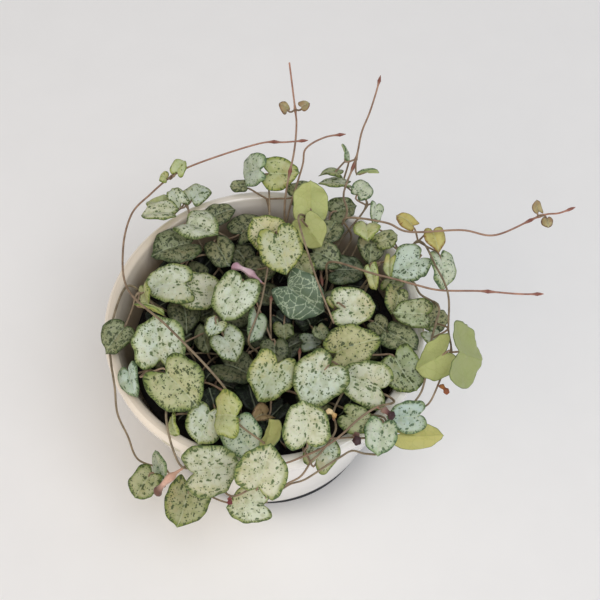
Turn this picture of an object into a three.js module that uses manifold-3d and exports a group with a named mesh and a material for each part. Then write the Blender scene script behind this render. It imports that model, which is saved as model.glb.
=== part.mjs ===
// A string of hearts in a glazed pot: thin trailing stems with pairs of heart-shaped leaves.
// Millimetres, +Z up, origin at the middle of the pot's flat base.
import * as THREE from 'three';
import { mergeVertices } from 'three/addons/utils/BufferGeometryUtils.js';
import Module from 'manifold-3d';

const wasm = await Module();
wasm.setup();

// Driving sizes of the pot
const potHeight = 88;
const rimRadius = 66;
const rimWidth = 6;
const rimDrop = 4;
const collarHeight = 8;
const collarStep = 1.6;
const footRadius = 44.5;
const wallThickness = 4;
const floorThickness = 6;
const floorFillet = 3;
const potSegments = 36;

// Driving sizes of the soil, with a plain hole for each stem
const soilTop = 68;
const soilDome = 1.5;
const soilGap = 0.4;
const holeRadius = 1.5;
const holeSides = 4;
const rootDepth = 9;
const rootSpacing = 5;
const rootReach = 45;
const rootPull = 0.9;
const footRise = 2.5;
const footLength = 3;

// Driving sizes of the plant
const stemRadius = 0.65;
const stemSides = 4;
const stemChord = 11;
const stalkRadius = 0.5;
const stalkSides = 3;
const stalkChord = 9;
const stalkDrop = 4.5;
const stalkSink = 2.6;
const stalkBehind = 1.6;
const stalkBelow = 0.8;
const longStalk = 8;
const hairpin = 0.5;
const longSpan = 9;
const bladeThickness = 1.4;
const bulgeRise = 1.15;
const ribRise = 0.8;
const witheredFold = 0.7;
const leastFold = 0.04;
const foldSpan = 0.14;
const leastDroop = 0.2;
const droopSpan = 0.9;
const bloomGap = 0.45;
const bloomSides = 6;
const bloomBow = 0.16;

// Clear distances that keep the pieces of one stem off those of another
const leafClear = 2.1;
const leafMargin = 1.2;
const meetShare = 0.28;
const meetExtra = 4;
const tubeClear = 1.1;
const plateClear = 1.5;
const plateMargin = 0.8;
const ownEase = 0.8;
const notchReach = 4;
const potClear = 1.4;
const hangBelow = 15;
const probesEach = 4;

// How far points may move to bend clear: a leafy node, a hand-placed route point, a stalk's end
const nodeEase = 0.6;
const routeEase = 0.2;
const stalkEase = 0.3;
const shortStalkEase = 0.5;
const easeGrowth = 0.02;
const bendRounds = 900;
const leastGain = 1e-6;
const partRounds = 160;
const spreadRounds = 80;
const liftStep = 0.25;
const sinkStep = 0.2;
const potStep = 0.4;

// Leaves that crowd each other part along the line from the plant to the eye
const towardsEye = [0, -0.524, 0.852];

// Half of a heart-shaped blade, from the notch round a lobe to the tip: across in half widths,
// along in lengths from the notch
const heartHalf = [
  [0, 0.05], [0.3, -0.12], [0.66, -0.13], [0.93, 0.04], [1, 0.3], [0.88, 0.6], [0.52, 0.83], [0, 0.95],
];
const heartMiddle = 0.4;
const heartReach = 0.55;
const bulgePlace = [0.48, 0.36];

// Each stem is what it passes from the root outwards: a route point [x, y, height over the rim],
// or a leaf pair or single leaf, each leaf as
// [x, y, height over the rim, width, heading of the tip, lean in x, lean in y, tone, length].
const stems = [
  { name: 'vine_rim_northwest', path: [
    [[-38, 56, 7, 9.5, 120, 0.2, -0.2, 'silver'], [-30, 58, 8, 11, 60, 0.2, 0, 'silver']],
    [[-45, 48, 6, 14, 180, -0.1, 0.35, 'silver'], [-46, 55, 4, 11, 150, 0, 0.3, 'young']]] },
  { name: 'vine_inner_northwest', path: [
    [[-19, 33, 0, 13, -60, 0, -0.2, 'dark'], [-8, 47, -2, 14, 40, 0, 0, 'dark']],
    [[-28, 39, 9, 19, -33, 0, 0.28, 'silver', 16], [-20, 51, 2, 12, 30, 0, 0, 'dark']]] },
  { name: 'vine_dark_west', path: [
    [[-38, 34, 2, 20, 200, 0, 0.1, 'dark', 18], [-30, 25, -6, 12, -40, 0, 0, 'dark']]] },
  { name: 'vine_pair_west', path: [
    [[-39, 12, 8, 17, 178, -0.05, -0.25, 'silver', 18], [-26, 10, 5, 17, -5, 0.1, -0.2, 'silver', 17]]] },
  { name: 'vine_young_west', path: [
    [[-48, 5, 10, 9, -70, -0.85, -0.1, 'young', 12], [-45, -1, 10, 7, -20, 0.3, 0.75, 'young', 11]],
    [[-59, -13, 7, 13, -125, -0.1, -0.3, 'dark']]] },
  { name: 'vine_silver_west', path: [
    [[-24, -9, 1, 13, -90, -0.8, -0.2, 'dark'], [-41, -18, 12, 21, 95, 0, -0.4, 'silver', 20]]] },
  { name: 'vine_southwest', path: [
    [[-32, -38, 14, 21, -50, 0, -0.45, 'olive'], [-52, -30, 4, 12, -80, -0.7, -0.3, 'mint']]] },
  { name: 'vine_rim_southwest', path: [
    [[-34, -50, 4, 8, -60, -0.9, -0.1, 'young', 10], [-22, -51, 6, 15, -110, 0, -0.45, 'silver']]] },
  { name: 'vine_middle_west', path: [
    [[-14, -14, 4, 13, -60, 0.1, -0.3, 'silver'], [-19, -8, 8, 8, -120, 0, -0.3, 'silver']],
    [[-12, 2, 14, 18, -115, 0, -0.4, 'silver'], [-4, -7, 6, 13, -90, 0.85, -0.25, 'mint']]] },
  { name: 'vine_dark_middle', path: [
    [[-11, -21, -4, 17, -30, 0, 0.1, 'dark'], [4, -14, -3, 11, -90, 0, -0.3, 'dark']]] },
  { name: 'vine_top_north', path: [
    [[-5, 64, 16, 15, 180, -0.75, -0.3, 'mint', 14], [6, 62, 16, 14, 0, 0, -0.45, 'young']]] },
  { name: 'vine_rim_north', path: [
    [[16, 60, 5, 13, 20, 0, 0.05, 'dark'], [-12, 64, 4, 7.5, 180, 0, 0.1, 'dark']]] },
  { name: 'vine_upright_north', path: [
    [[19, 45, 20, 14.5, 90, 0, 0.75, 'underside', 16], [19, 33, 15, 14, -60, 0, 0.5, 'underside']],
    [14, 32, 24], [21, 7, 20], [28, -10, 13]] },
  { name: 'vine_dark_north', path: [
    [[-2, 26, -3, 13, 0, 0, -0.1, 'dark'], [15, 21, 6, 12, -60, 0, -0.3, 'olive']]] },
  { name: 'vine_middle_north', path: [
    [-6, -15, 10], [-2, -1, 16],
    [[1, 34, 13, 16, 125, 0, -0.5, 'young'], [7, 22, 18, 18, -75, 0, -0.4, 'young']]] },
  { name: 'vine_rim_northeast', path: [
    [[46, 48, 7, 8, -80, 0.7, -0.3, 'mint'], [41, 59, 8, 8, 60, 0.4, -0.3, 'mint']],
    [[28, 67, 10, 9, 175, 0, 0.45, 'olive', 10], [30, 62, 9, 12, 178, 0, 0.62, 'silver', 13]]] },
  { name: 'vine_dark_northeast', path: [
    [[33, 53, 3, 12, 20, 0, -0.3, 'dark'], [27, 42, 2, 11.5, 60, 0, 0, 'dark']]] },
  { name: 'vine_middle_northeast', path: [
    [[25, 28, 4, 14, -30, 0, -0.2, 'dark'], [34, 25, -2, 14, 0, 0, -0.1, 'dark']]] },
  { name: 'vine_young_northeast', path: [
    [[44, 31, 5, 12, -90, 0.3, -0.4, 'dark'], [42, 34, 14, 12, -90, 0, 0.25, 'young', 11]],
    [[51, 34, 8, 10, 30, 0, 0, 'olive'], [59, 21, 8, 16, -140, 0, -0.25, 'mint']]] },
  { name: 'vine_hanging_east', path: [
    [[59, 39, 14, 8.5, 140, 0.2, 0, 'young'], [70, 30, 14, 9, -70, 0.3, -0.2, 'young'],
      [74, 21, 5, 13, -60, 0.6, -0.35, 'mint', 15]],
    [69, 17, 16], [72, 0, 16], [73, -14, 15],
    [[79, -25, 14, 26, -5, -0.8, 0.26, 'underside', 21], [67, -25, 11, 18, 195, 0.6, 0.2, 'underside', 16]],
    [69, -34, 11], [65, -42, 8], [62, -43, 4]] },
  { name: 'vine_young_east', path: [
    [[44, 13, 12, 7, -90, -0.5, -0.4, 'young', 11], [51, 17, 13, 6, -110, -0.5, -0.4, 'young', 9]],
    [[54, 5, 6, 11, -100, 0.4, -0.3, 'olive'], [53, 15, 3, 9, 60, 0.2, 0.2, 'olive']]] },
  { name: 'vine_rim_east', path: [
    [[55, -12, 4, 14, -40, 0, 0.1, 'dark'], [60, -3, 9, 13, 180, 0.1, -0.3, 'olive', 14]],
    [[69, -3, 5, 12, -120, 0.5, -0.3, 'dark'], [68, -11, 3, 8, -60, 0.3, -0.3, 'silver']]] },
  { name: 'vine_middle_east', path: [
    [[36, -2, 12, 16.5, 0, 0, -0.45, 'silver'], [28, 4, 8, 5, 120, 0, -0.3, 'young']],
    [[47, -5, 2, 9, -40, 0, -0.2, 'dark']]] },
  { name: 'vine_net_middle', path: [
    [[15, 8, 4, 19.5, -40, 0, -0.45, 'net'], [8, -6, 0, 7.5, -90, 0, -0.3, 'olive']]] },
  { name: 'vine_small_middle', path: [
    [[19, -10, -2, 8, 0, 0, -0.3, 'mint'], [26, -14, -4, 9, -60, 0, -0.3, 'dark']],
    [[23, -9, 4, 7, -60, 0, -0.2, 'dark'], [31, -10, 0, 9, 30, 0, -0.2, 'dark']]] },
  { name: 'vine_big_southeast', path: [
    [[35, -18, 9, 18, 20, 0, -0.3, 'olive', 20], [55, -29, 8, 17, -60, 0.1, -0.5, 'olive']]] },
  { name: 'vine_pair_southeast', path: [
    [[21, -36, 15, 20, -125, 0, -0.5, 'silver'], [40, -36, 12, 19, 155, 0, -0.5, 'silver']]] },
  { name: 'vine_rim_southeast', path: [
    [[36, -49, 6, 12, -30, 0, -0.2, 'olive'], [45, -55, 5, 13, -100, 0, -0.4, 'mint']],
    [[56, -47, 5, 13.5, 185, 0.1, -0.5, 'mint'], [60, -53, 0, 11, 0, 0, 0.5, 'underside', 19]]] },
  { name: 'vine_south', path: [
    [[17, -53, 12, 18, 92, 0, -0.35, 'silver', 17], [23, -62, 5, 14, 60, 0, -0.3, 'silver']]] },
  { name: 'vine_top_south', path: [
    [[3, -35, 15, 18, -115, 0, -0.45, 'young'], [-1, -46, 3, 9, -150, 0.3, 0.2, 'withered']]] },
  { name: 'vine_front', path: [
    [[-7, -57, 6, 16, -60, 0, -0.4, 'mint'], [-13, -50, 13, 19, 180, -0.75, -0.3, 'young', 14]],
    [[3, -57, 9, 14, 100, 0.8, -0.3, 'underside']]] },
  { name: 'vine_over_front', path: [
    [-36, -46, 7], [-31, -65, 1],
    [[-19, -68, 2, 20, 15, -0.05, -0.6, 'silver']],
    [-12, -77, -2],
    [[1, -67, 4, 19, 75, 0.05, -0.5, 'silver', 17]]] },
  { name: 'vine_festoon', path: [
    [-56, 10, 9], [-63, -8, 5], [-61, -20, 3.5], [-57, -33, 2.5],
    [-57, -39, -7], [-56, -41, -25], [-52, -46, -37],
    [[-50, -54, -42, 13, -125, -0.1, -0.5, 'olive'], [-44, -48, -39, 12, 90, -0.8, -0.4, 'mint']],
    [[-32, -66, -35, 18, -105, 0, -0.5, 'olive']],
    [-15, -66, -35],
    [[-6, -67, -32, 16, 185, 0, -0.5, 'silver']]] },
  { name: 'runner_arch', path: [
    [-9, -44, 9], [-20, -38, 19], [-38, -21, 21], [-54, 2, 18], [-58, 24, 15], [-56, 43, 13], [-49, 54, 12],
    [[-37, 67, 14, 8, 60, 0, -0.3, 'young'], [-44, 64, 12, 4.5, 160, 0, -0.3, 'young']],
    [-28, 68, 16], [-3, 75, 20], [8, 75, 21], [18, 76, 21]] },
  { name: 'runner_upright', path: [
    [8, 44, 12], [9, 52, 20], [12, 65, 27], [13, 75, 32],
    [[8, 82, 36, 4.5, 150, 0.3, -0.3, 'young'], [17, 83, 36, 4.5, 30, -0.3, -0.3, 'young']],
    [10, 101, 42]] },
  { name: 'runner_north', path: [
    [10, 52, 8], [15, 66, 16], [17, 71, 21], [25, 76, 23], [34, 77, 24]] },
  { name: 'runner_far_north', path: [
    [34, 49, 5], [36, 57, 10],
    [[34, 71, 19, 6, 112, 0.9, 0.1, 'mint', 8], [43, 64, 15, 6, -8, 0, 0.8, 'mint', 8]],
    [40, 77, 25], [44, 85, 28], [47, 94, 31], [49, 101, 34]] },
  { name: 'runner_east', path: [
    [35, 41, 12], [50, 36, 15], [60, 33, 16], [80, 30, 18], [96, 31, 19],
    [[112, 41, 21, 5, 100, 0, -0.3, 'young'], [116, 34, 20, 4, -80, 0, -0.3, 'young']],
    [121, 38, 21], [128, 41, 21]] },
  { name: 'runner_low_east', path: [
    [27, 20, 12], [44, 11, 17], [53, 9, 16], [61, 7, 15],
    [71, 5, 14], [87, 4, 15], [102, 2, 16], [112, 2, 16]] },
  { name: 'runner_round_east', path: [
    [47, 18, 5], [57, 15, 8], [64, 8, 8], [70, 0, 8], [71, -9, 8], [69, -16, 7], [65, -22, 6],
    [63, -29, 5], [62, -36, 4], [58, -42, 4], [54, -49, 4], [47, -53, 5], [38, -55, 6],
    [27, -56, 7], [18, -58, 8]] },
  { name: 'runner_across_south', path: [
    [44, -31, -6], [49, -39, 1], [50, -42, 8], [44, -46, 11], [37, -51, 11], [30, -58, 11],
    [23, -62, 11], [16, -66, 10], [9, -69, 10], [0, -71, 11], [-8, -72, 11]] },
  { name: 'runner_over_south', path: [
    [30, -28, -8], [32, -33, 1], [30, -44, 4], [27, -54, 8], [23, -60, 9], [19, -67, 8],
    [15, -71, 3], [10, -71, -4], [6, -71, -10], [1, -72, -16]] },
  { name: 'runner_low_south', path: [
    [46, -42, -5], [48, -51, 3], [45, -59, 2], [40, -61, 1], [34, -62, 4], [29, -64, 6],
    [23, -67, 6], [16, -71, 1], [11, -70, -7], [7, -70, -13]] },
];

// Small lantern flowers and dried ones: the stem that carries each, where it sits on the stem,
// and where its mouth is
const blooms = [
  { name: 'bloom_lilac', stem: 'vine_middle_north',
    from: [0, 7, 17], mouth: [-13, 15, 17], width: 3.8, colour: 0xc9a3b4 },
  { name: 'bloom_salmon', stem: 'vine_over_front',
    from: [-29, -68, 0], mouth: [-41, -75, -6], width: 3.8, colour: 0xc98f7f },
  { name: 'bloom_maroon_east', stem: 'runner_across_south',
    from: [44, -46, 10], mouth: [50, -52, 14], width: 3.4, colour: 0x4a2b33 },
  { name: 'bloom_maroon_front', stem: 'runner_round_east',
    from: [36, -56, 6], mouth: [36, -62, 13], width: 3.4, colour: 0x4a2b33 },
  { name: 'bloom_dried', stem: 'vine_hanging_east',
    from: [68, -36, 11], mouth: [71, -42, 15], width: 2.4, colour: 0x9c5a34 },
  { name: 'bloom_star', stem: 'runner_over_south',
    from: [29, -46, 10], mouth: [25, -49, 14], width: 2.4, colour: 0xd9a066 },
  { name: 'bloom_bud', stem: 'vine_over_front',
    from: [-12, -77, -2], mouth: [-12, -81, 0], width: 2.2, colour: 0xa14b45 },
];

// Darker leaves deep in the pot fill the gaps by a seeded rule
const deepLeaves = 19;
const deepLeavesEach = 4;
const deepReach = 46;
const deepSpacing = 9;
const deepLift = [-13, -4];
const deepWidth = [10, 16];
const deepLean = 0.6;
const deepAttempts = 20000;
const seed = 20266;

const degrees = Math.PI / 180;

function plus(a, b, scale = 1) {
  return [a[0] + b[0] * scale, a[1] + b[1] * scale, a[2] + b[2] * scale];
}

function dot(a, b) {
  return a[0] * b[0] + a[1] * b[1] + a[2] * b[2];
}

function cross(a, b) {
  return [a[1] * b[2] - a[2] * b[1], a[2] * b[0] - a[0] * b[2], a[0] * b[1] - a[1] * b[0]];
}

function unit(a) {
  return plus([0, 0, 0], a, 1 / Math.sqrt(dot(a, a)));
}

function apart(a, b) {
  const d = plus(a, b, -1);
  return Math.sqrt(dot(d, d));
}

// A place given by its height over the rim
function overRim([x, y, lift]) {
  return [x, y, potHeight + lift];
}

// A small seeded generator of numbers from 0 to 1
function seeded(seed) {
  let state = seed;
  return () => {
    state = (state * 1664525 + 1013904223) % 4294967296;
    return state / 4294967296;
  };
}

const random = seeded(seed);

function between(range) {
  return range[0] + (range[1] - range[0]) * random();
}

// Radii of the pot's wall at a height
function outerRadius(z) {
  if (z > potHeight - collarHeight) {
    return rimRadius;
  }
  const share = z / (potHeight - collarHeight);
  return footRadius + (rimRadius - collarStep - footRadius) * share;
}

function innerRadius(z) {
  const share = Math.min(1, z / (potHeight - rimDrop));
  return footRadius - wallThickness + (rimRadius - rimWidth - footRadius + wallThickness) * share;
}

// A blade's frame, its middle and the points of its outline and bulges
function makeBlade(stem, row) {
  const [x, y, lift, width, heading, leanX, leanY, tone, length = width] = row;
  const flat = Math.sqrt(Math.max(1 - leanX * leanX - leanY * leanY, 0.01));
  const up = unit([leanX, leanY, tone === 'underside' ? -flat : flat]);
  const ahead = [Math.cos(heading * degrees), Math.sin(heading * degrees), 0];
  const along = unit(plus(ahead, up, -dot(ahead, up)));
  const fold = tone === 'withered' ? witheredFold : leastFold + foldSpan * random();
  const droop = leastDroop + droopSpan * random();
  const blade = { stem, tone, width, length, fold, droop, up, along, across: cross(along, up) };
  blade.middle = overRim([x, y, lift]);
  blade.probes = [];
  for (const side of [-1, 1]) {
    for (const [across, ahead2] of heartHalf) {
      blade.probes.push(bladeOffset(blade, side * across, ahead2, 0));
    }
    blade.probes.push(bladeOffset(blade, side * bulgePlace[0], bulgePlace[1], 0));
  }
  blade.probes.push(bladeOffset(blade, 0, heartMiddle, 0));
  return blade;
}

// The height of a blade's middle surface over its own plane: folded at the rib, drooping at its ends
function bladeForm(blade, across, ahead) {
  const reach = (ahead - heartMiddle) / heartReach;
  return blade.fold * Math.abs(across) * blade.width / 2 - blade.droop * reach * reach;
}

function bladeOffset(blade, across, ahead, height) {
  const rise = bladeForm(blade, across, ahead) + height;
  let offset = plus([0, 0, 0], blade.across, across * blade.width / 2);
  offset = plus(offset, blade.along, (ahead - heartMiddle) * blade.length);
  return plus(offset, blade.up, rise);
}

function bladePoint(blade, across, ahead, height) {
  return plus(blade.middle, bladeOffset(blade, across, ahead, height));
}

// Where a point lies against a blade: 0 clear of its outline, else its height over the blade
function overBlade(blade, point, margin) {
  const d = plus(point, blade.middle, -1);
  const across = dot(d, blade.across) / (blade.width / 2 + margin);
  const ahead = dot(d, blade.along) / (blade.length * heartReach + margin);
  if (across * across + ahead * ahead > 1) {
    return null;
  }
  const form = bladeForm(blade, Math.min(1, Math.abs(across)), heartMiddle + ahead * heartReach);
  return dot(d, blade.up) - form;
}

function bladesMeet(a, b) {
  if (apart(a.middle, b.middle) > (a.width + a.length + b.width + b.length) * meetShare + meetExtra) {
    return false;
  }
  for (const [one, other] of [[a, b], [b, a]]) {
    let above = false;
    let below = false;
    for (const probe of one.probes) {
      const height = overBlade(other, plus(one.middle, probe), leafMargin);
      if (height === null) {
        continue;
      }
      if (height > leafClear) {
        above = true;
      } else if (height < -leafClear) {
        below = true;
      } else {
        return true;
      }
    }
    if (above && below) {
      return true;
    }
  }
  return false;
}

// How a blade meets the pot or soil: the way that it has to move, or null
function bladePush(blade) {
  for (const probe of blade.probes) {
    const [x, y, z] = plus(blade.middle, probe);
    const radius = Math.sqrt(x * x + y * y);
    const inWall = radius > innerRadius(z) - potClear && radius < outerRadius(z) + potClear;
    if (z < potHeight + potClear && inWall) {
      if (blade.middle[2] < potHeight - hangBelow && radius > outerRadius(z) - wallThickness) {
        return unit([x, y, 0]);
      }
      return towardsEye;
    }
    if (radius < innerRadius(z) && z < soilTop + potClear) {
      return [0, 0, 1];
    }
  }
  return null;
}

function partBlades(blades) {
  const order = blades.map((blade) => dot(blade.middle, towardsEye));
  for (let round = 0; round < partRounds; round += 1) {
    let moved = false;
    for (let i = 0; i < blades.length; i += 1) {
      for (let j = 0; j < i; j += 1) {
        if (!bladesMeet(blades[i], blades[j])) {
          continue;
        }
        moved = true;
        const [upper, lower] = order[i] >= order[j] ? [blades[i], blades[j]] : [blades[j], blades[i]];
        upper.middle = plus(upper.middle, towardsEye, liftStep);
        lower.middle = plus(lower.middle, towardsEye, -sinkStep);
      }
      const push = bladePush(blades[i]);
      if (push) {
        moved = true;
        blades[i].middle = plus(blades[i].middle, push, potStep);
      }
    }
    if (!moved) {
      break;
    }
  }
}

// A smooth line through control points, in chords of about one length
function smoothLine(controls, chord) {
  const line = [controls[0]];
  for (let span = 0; span < controls.length - 1; span += 1) {
    const p1 = controls[span];
    const p2 = controls[span + 1];
    const p0 = span > 0 ? controls[span - 1] : plus(plus(p1, p1), p2, -1);
    const p3 = span < controls.length - 2 ? controls[span + 2] : plus(plus(p2, p2), p1, -1);
    const steps = Math.max(1, Math.round(apart(p1, p2) / chord));
    for (let step = 1; step <= steps; step += 1) {
      const t = step / steps;
      const point = [0, 0, 0];
      for (let axis = 0; axis < 3; axis += 1) {
        const slope1 = (p2[axis] - p0[axis]) / 2;
        const slope2 = (p3[axis] - p1[axis]) / 2;
        const rise = p2[axis] - p1[axis];
        const square = 3 * rise - 2 * slope1 - slope2;
        const cube = slope1 + slope2 - 2 * rise;
        point[axis] = p1[axis] + t * (slope1 + t * (square + t * cube));
      }
      line.push(point);
    }
  }
  return line;
}

// Points along a line's chords, close enough to test
function probePoints(line) {
  const points = [];
  for (let i = 0; i < line.length - 1; i += 1) {
    for (let step = 0; step < probesEach; step += 1) {
      points.push(plus(line[i], plus(line[i + 1], line[i], -1), step / probesEach));
    }
  }
  points.push(line[line.length - 1]);
  return points;
}

// How deep a tube runs into the blades, tubes, pot and soil around it
function crowding(tube) {
  const { line, radius, stem, target } = tube;
  const points = probePoints(line);
  let total = 0;
  for (const blade of blades) {
    if (apart(points[0], blade.middle) > tube.span + blade.length + blade.width) {
      continue;
    }
    for (const point of points) {
      if (blade === target && apart(point, target.notch) < notchReach) {
        continue;
      }
      const height = overBlade(blade, point, radius + plateMargin);
      if (height !== null) {
        const depth = plateClear + radius - Math.abs(height);
        total += Math.max(0, blade.stem === stem ? depth - ownEase : depth);
      }
    }
  }
  for (const other of tubes) {
    if (other.stem === stem) {
      continue;
    }
    const near = radius + other.radius + tubeClear;
    for (const point of points) {
      if (point[0] < other.low[0] - near || point[0] > other.high[0] + near
        || point[1] < other.low[1] - near || point[1] > other.high[1] + near) {
        continue;
      }
      for (const place of other.points) {
        total += Math.max(0, near - apart(point, place));
      }
    }
  }
  for (const [x, y, z] of points) {
    const away = Math.sqrt(x * x + y * y);
    const clear = potClear + radius;
    if (z < potHeight + clear) {
      const inside = away - (innerRadius(z) - clear);
      const outside = outerRadius(z) + clear - away;
      total += Math.max(0, Math.min(inside, outside, potHeight + clear - z));
      if (away < innerRadius(z)) {
        total += Math.max(0, soilTop + clear - z);
      }
    }
  }
  return total;
}

// Bends a tube clear by moving its free control points [index, how far], most gently first
function bendClear(controls, free, radius, stem, target) {
  const tube = { stem, radius, target, controls };
  const settle = (points) => {
    tube.line = smoothLine(points, radius > stalkRadius ? stemChord : stalkChord);
    tube.span = Math.max(...tube.line.map((point) => apart(point, tube.line[0])));
    return crowding(tube);
  };
  let best = controls;
  let cost = settle(best);
  for (let round = 0; round < bendRounds && cost > leastGain; round += 1) {
    const [pick, ease] = free[Math.floor(random() * free.length)];
    const reach = ease * (1 + round * easeGrowth);
    const start = round % 2 === 0 ? best[pick] : controls[pick];
    const move = [random() - 0.5, random() - 0.5, random() - 0.5];
    const trial = best.map((point, index) => (index === pick ? plus(start, move, 2 * reach) : point));
    const trialCost = settle(trial);
    if (trialCost < cost - leastGain) {
      best = trial;
      cost = trialCost;
    }
  }
  settle(best);
  tube.controls = best;
  tube.cost = cost;
  return tube;
}

function keepTube(tube) {
  tube.points = probePoints(tube.line);
  tube.low = [0, 1, 2].map((axis) => Math.min(...tube.points.map((point) => point[axis])));
  tube.high = [0, 1, 2].map((axis) => Math.max(...tube.points.map((point) => point[axis])));
  tubes.push(tube);
}

// Leaves deep in the pot, each tried at seeded places until it is clear of the rest
function deepStemPaths() {
  const rows = [];
  for (let attempt = 0; attempt < deepAttempts && rows.length < deepLeaves; attempt += 1) {
    const angle = 2 * Math.PI * random();
    const away = deepReach * Math.sqrt(random());
    const spot = [away * Math.cos(angle), away * Math.sin(angle)];
    const lean = [deepLean * (random() - 0.5), deepLean * (random() - 0.7)];
    const row = [...spot, between(deepLift), between(deepWidth), 360 * random(), ...lean, 'dark'];
    const blade = makeBlade(-1, row);
    const inTheWay = tubes.some((tube) => tube.points.some((point) => {
      const height = overBlade(blade, point, tube.radius + leafMargin);
      return height !== null && Math.abs(height) < plateClear + tube.radius;
    }));
    const tooNear = rows.some((other) => Math.hypot(other[0] - row[0], other[1] - row[1]) < deepSpacing);
    if (!tooNear && !inTheWay && !bladePush(blade) && blades.every((other) => !bladesMeet(blade, other))) {
      rows.push(row);
      blades.push(blade);
    }
  }
  blades.splice(blades.length - rows.length);
  rows.sort((a, b) => Math.atan2(a[1], a[0]) - Math.atan2(b[1], b[0]));
  const paths = [];
  for (let index = 0; index * deepLeavesEach < rows.length; index += 1) {
    const own = rows.slice(index * deepLeavesEach, (index + 1) * deepLeavesEach);
    own.sort((a, b) => Math.hypot(a[0], a[1]) - Math.hypot(b[0], b[1]));
    const pairs = [own.slice(0, 2), own.slice(2)].filter((pair) => pair.length > 0);
    paths.push({ name: `vine_deep_${index + 1}`, path: pairs });
  }
  return paths;
}

const blades = [];
const tubes = [];
const plants = [];

// Reads a stem's path into nodes, with a blade for each leaf
function readPath(plant) {
  plant.index = plants.length;
  plant.nodes = plant.path.map((item) => {
    if (!Array.isArray(item[0])) {
      return { point: overRim(item), pair: [] };
    }
    const pair = item.map((row) => makeBlade(plant.index, row));
    blades.push(...pair);
    return { pair };
  });
  plants.push(plant);
}

// The places that stalks run between, and the root under the first of them
function setNodes(plant) {
  for (const node of plant.nodes) {
    for (const blade of node.pair) {
      blade.notch = bladePoint(blade, 0, heartHalf[0][1], 0);
      blade.sink = plus(blade.notch, blade.along, stalkSink);
    }
    if (node.pair.length > 0) {
      const share = 1 / node.pair.length;
      const middle = node.pair.reduce((sum, blade) => plus(sum, blade.notch, share), [0, 0, 0]);
      node.point = plus(middle, towardsEye, -stalkDrop);
    }
  }
  const [x, y] = plant.nodes[0].point;
  const away = Math.max(1, Math.hypot(x, y) / (rootReach * rootPull));
  plant.root = [x / away * rootPull, y / away * rootPull];
}

// Spreads the roots of new stems apart from each other and from those already there
function spreadRoots(first) {
  for (let round = 0; round < spreadRounds; round += 1) {
    for (const plant of plants.slice(first)) {
      for (const other of plants.slice(0, plant.index)) {
        const gap = Math.hypot(plant.root[0] - other.root[0], plant.root[1] - other.root[1]);
        if (gap < rootSpacing) {
          const push = (rootSpacing - gap) / 2 / Math.max(gap, 0.1);
          const move = [(plant.root[0] - other.root[0]) * push, (plant.root[1] - other.root[1]) * push];
          plant.root = [plant.root[0] + move[0], plant.root[1] + move[1]];
          if (other.index >= first) {
            other.root = [other.root[0] - move[0], other.root[1] - move[1]];
          }
        }
      }
      const away = Math.max(1, Math.hypot(plant.root[0], plant.root[1]) / rootReach);
      plant.root = [plant.root[0] / away, plant.root[1] / away];
    }
  }
}

function footLine(plant) {
  const foot = [plant.root[0], plant.root[1], soilTop + footRise];
  return [foot, plus(foot, [0, 0, footLength])];
}

// Runs a stem from its root through its nodes, and a stalk from each node to each of its leaves.
// A stalk comes in behind the notch, or from below where its node lies ahead of the leaf.
function growStem(plant) {
  const controls = footLine(plant);
  const freeStops = [];
  for (const [index, node] of plant.nodes.entries()) {
    const last = controls[controls.length - 1];
    const onRoute = index > 0 && (node.pair.length === 0 || plant.nodes[index - 1].pair.length === 0);
    if (apart(last, node.point) > longSpan && !onRoute) {
      freeStops.push([controls.length, 1]);
      controls.push(plus(last, plus(node.point, last, -1), 0.5));
    }
    node.place = controls.length;
    freeStops.push([controls.length, node.pair.length > 0 ? nodeEase : routeEase]);
    controls.push(node.point);
  }
  plant.tube = bendClear(controls, freeStops, stemRadius, plant.index, null);
  keepTube(plant.tube);
  plant.stalks = [];
  for (const node of plant.nodes) {
    node.point = plant.tube.controls[node.place];
    for (const blade of node.pair) {
      const behind = plus(plus(blade.notch, blade.along, -stalkBehind), blade.up, -stalkBelow);
      const fromAhead = dot(unit(plus(node.point, behind, -1)), blade.along) > hairpin;
      const end = fromAhead ? blade.sink : behind;
      const middle = plus(end, plus(node.point, end, -1), 0.5);
      let stops = [node.point, middle, behind, blade.sink];
      let free = [[1, 1], [2, stalkEase]];
      if (fromAhead) {
        stops = [node.point, middle, blade.sink];
        free = [[1, 1]];
      } else if (apart(behind, node.point) < longStalk) {
        stops = [node.point, behind, blade.sink];
        free = [[1, shortStalkEase]];
      }
      const tube = bendClear(stops, free, stalkRadius, plant.index, blade);
      keepTube(tube);
      plant.stalks.push(tube);
    }
  }
}

function growAll(paths) {
  const first = plants.length;
  paths.forEach(readPath);
  if (first === 0) {
    partBlades(blades);
  }
  const fresh = plants.slice(first);
  fresh.forEach(setNodes);
  spreadRoots(first);
  for (const plant of fresh) {
    keepTube({ stem: plant.index, radius: stemRadius, line: footLine(plant) });
  }
  fresh.forEach(growStem);
}

growAll(stems);
growAll(deepStemPaths());

// A closed solid from corners and triangles, its faces pointing out
function solidFrom(corners, faces) {
  const build = (list) => new wasm.Manifold(new wasm.Mesh({
    numProp: 3,
    vertProperties: new Float32Array(corners.flat()),
    triVerts: new Uint32Array(list.flat()),
  }));
  const solid = build(faces);
  return solid.volume() > 0 ? solid : build(faces.map(([a, b, c]) => [a, c, b]));
}

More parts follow.
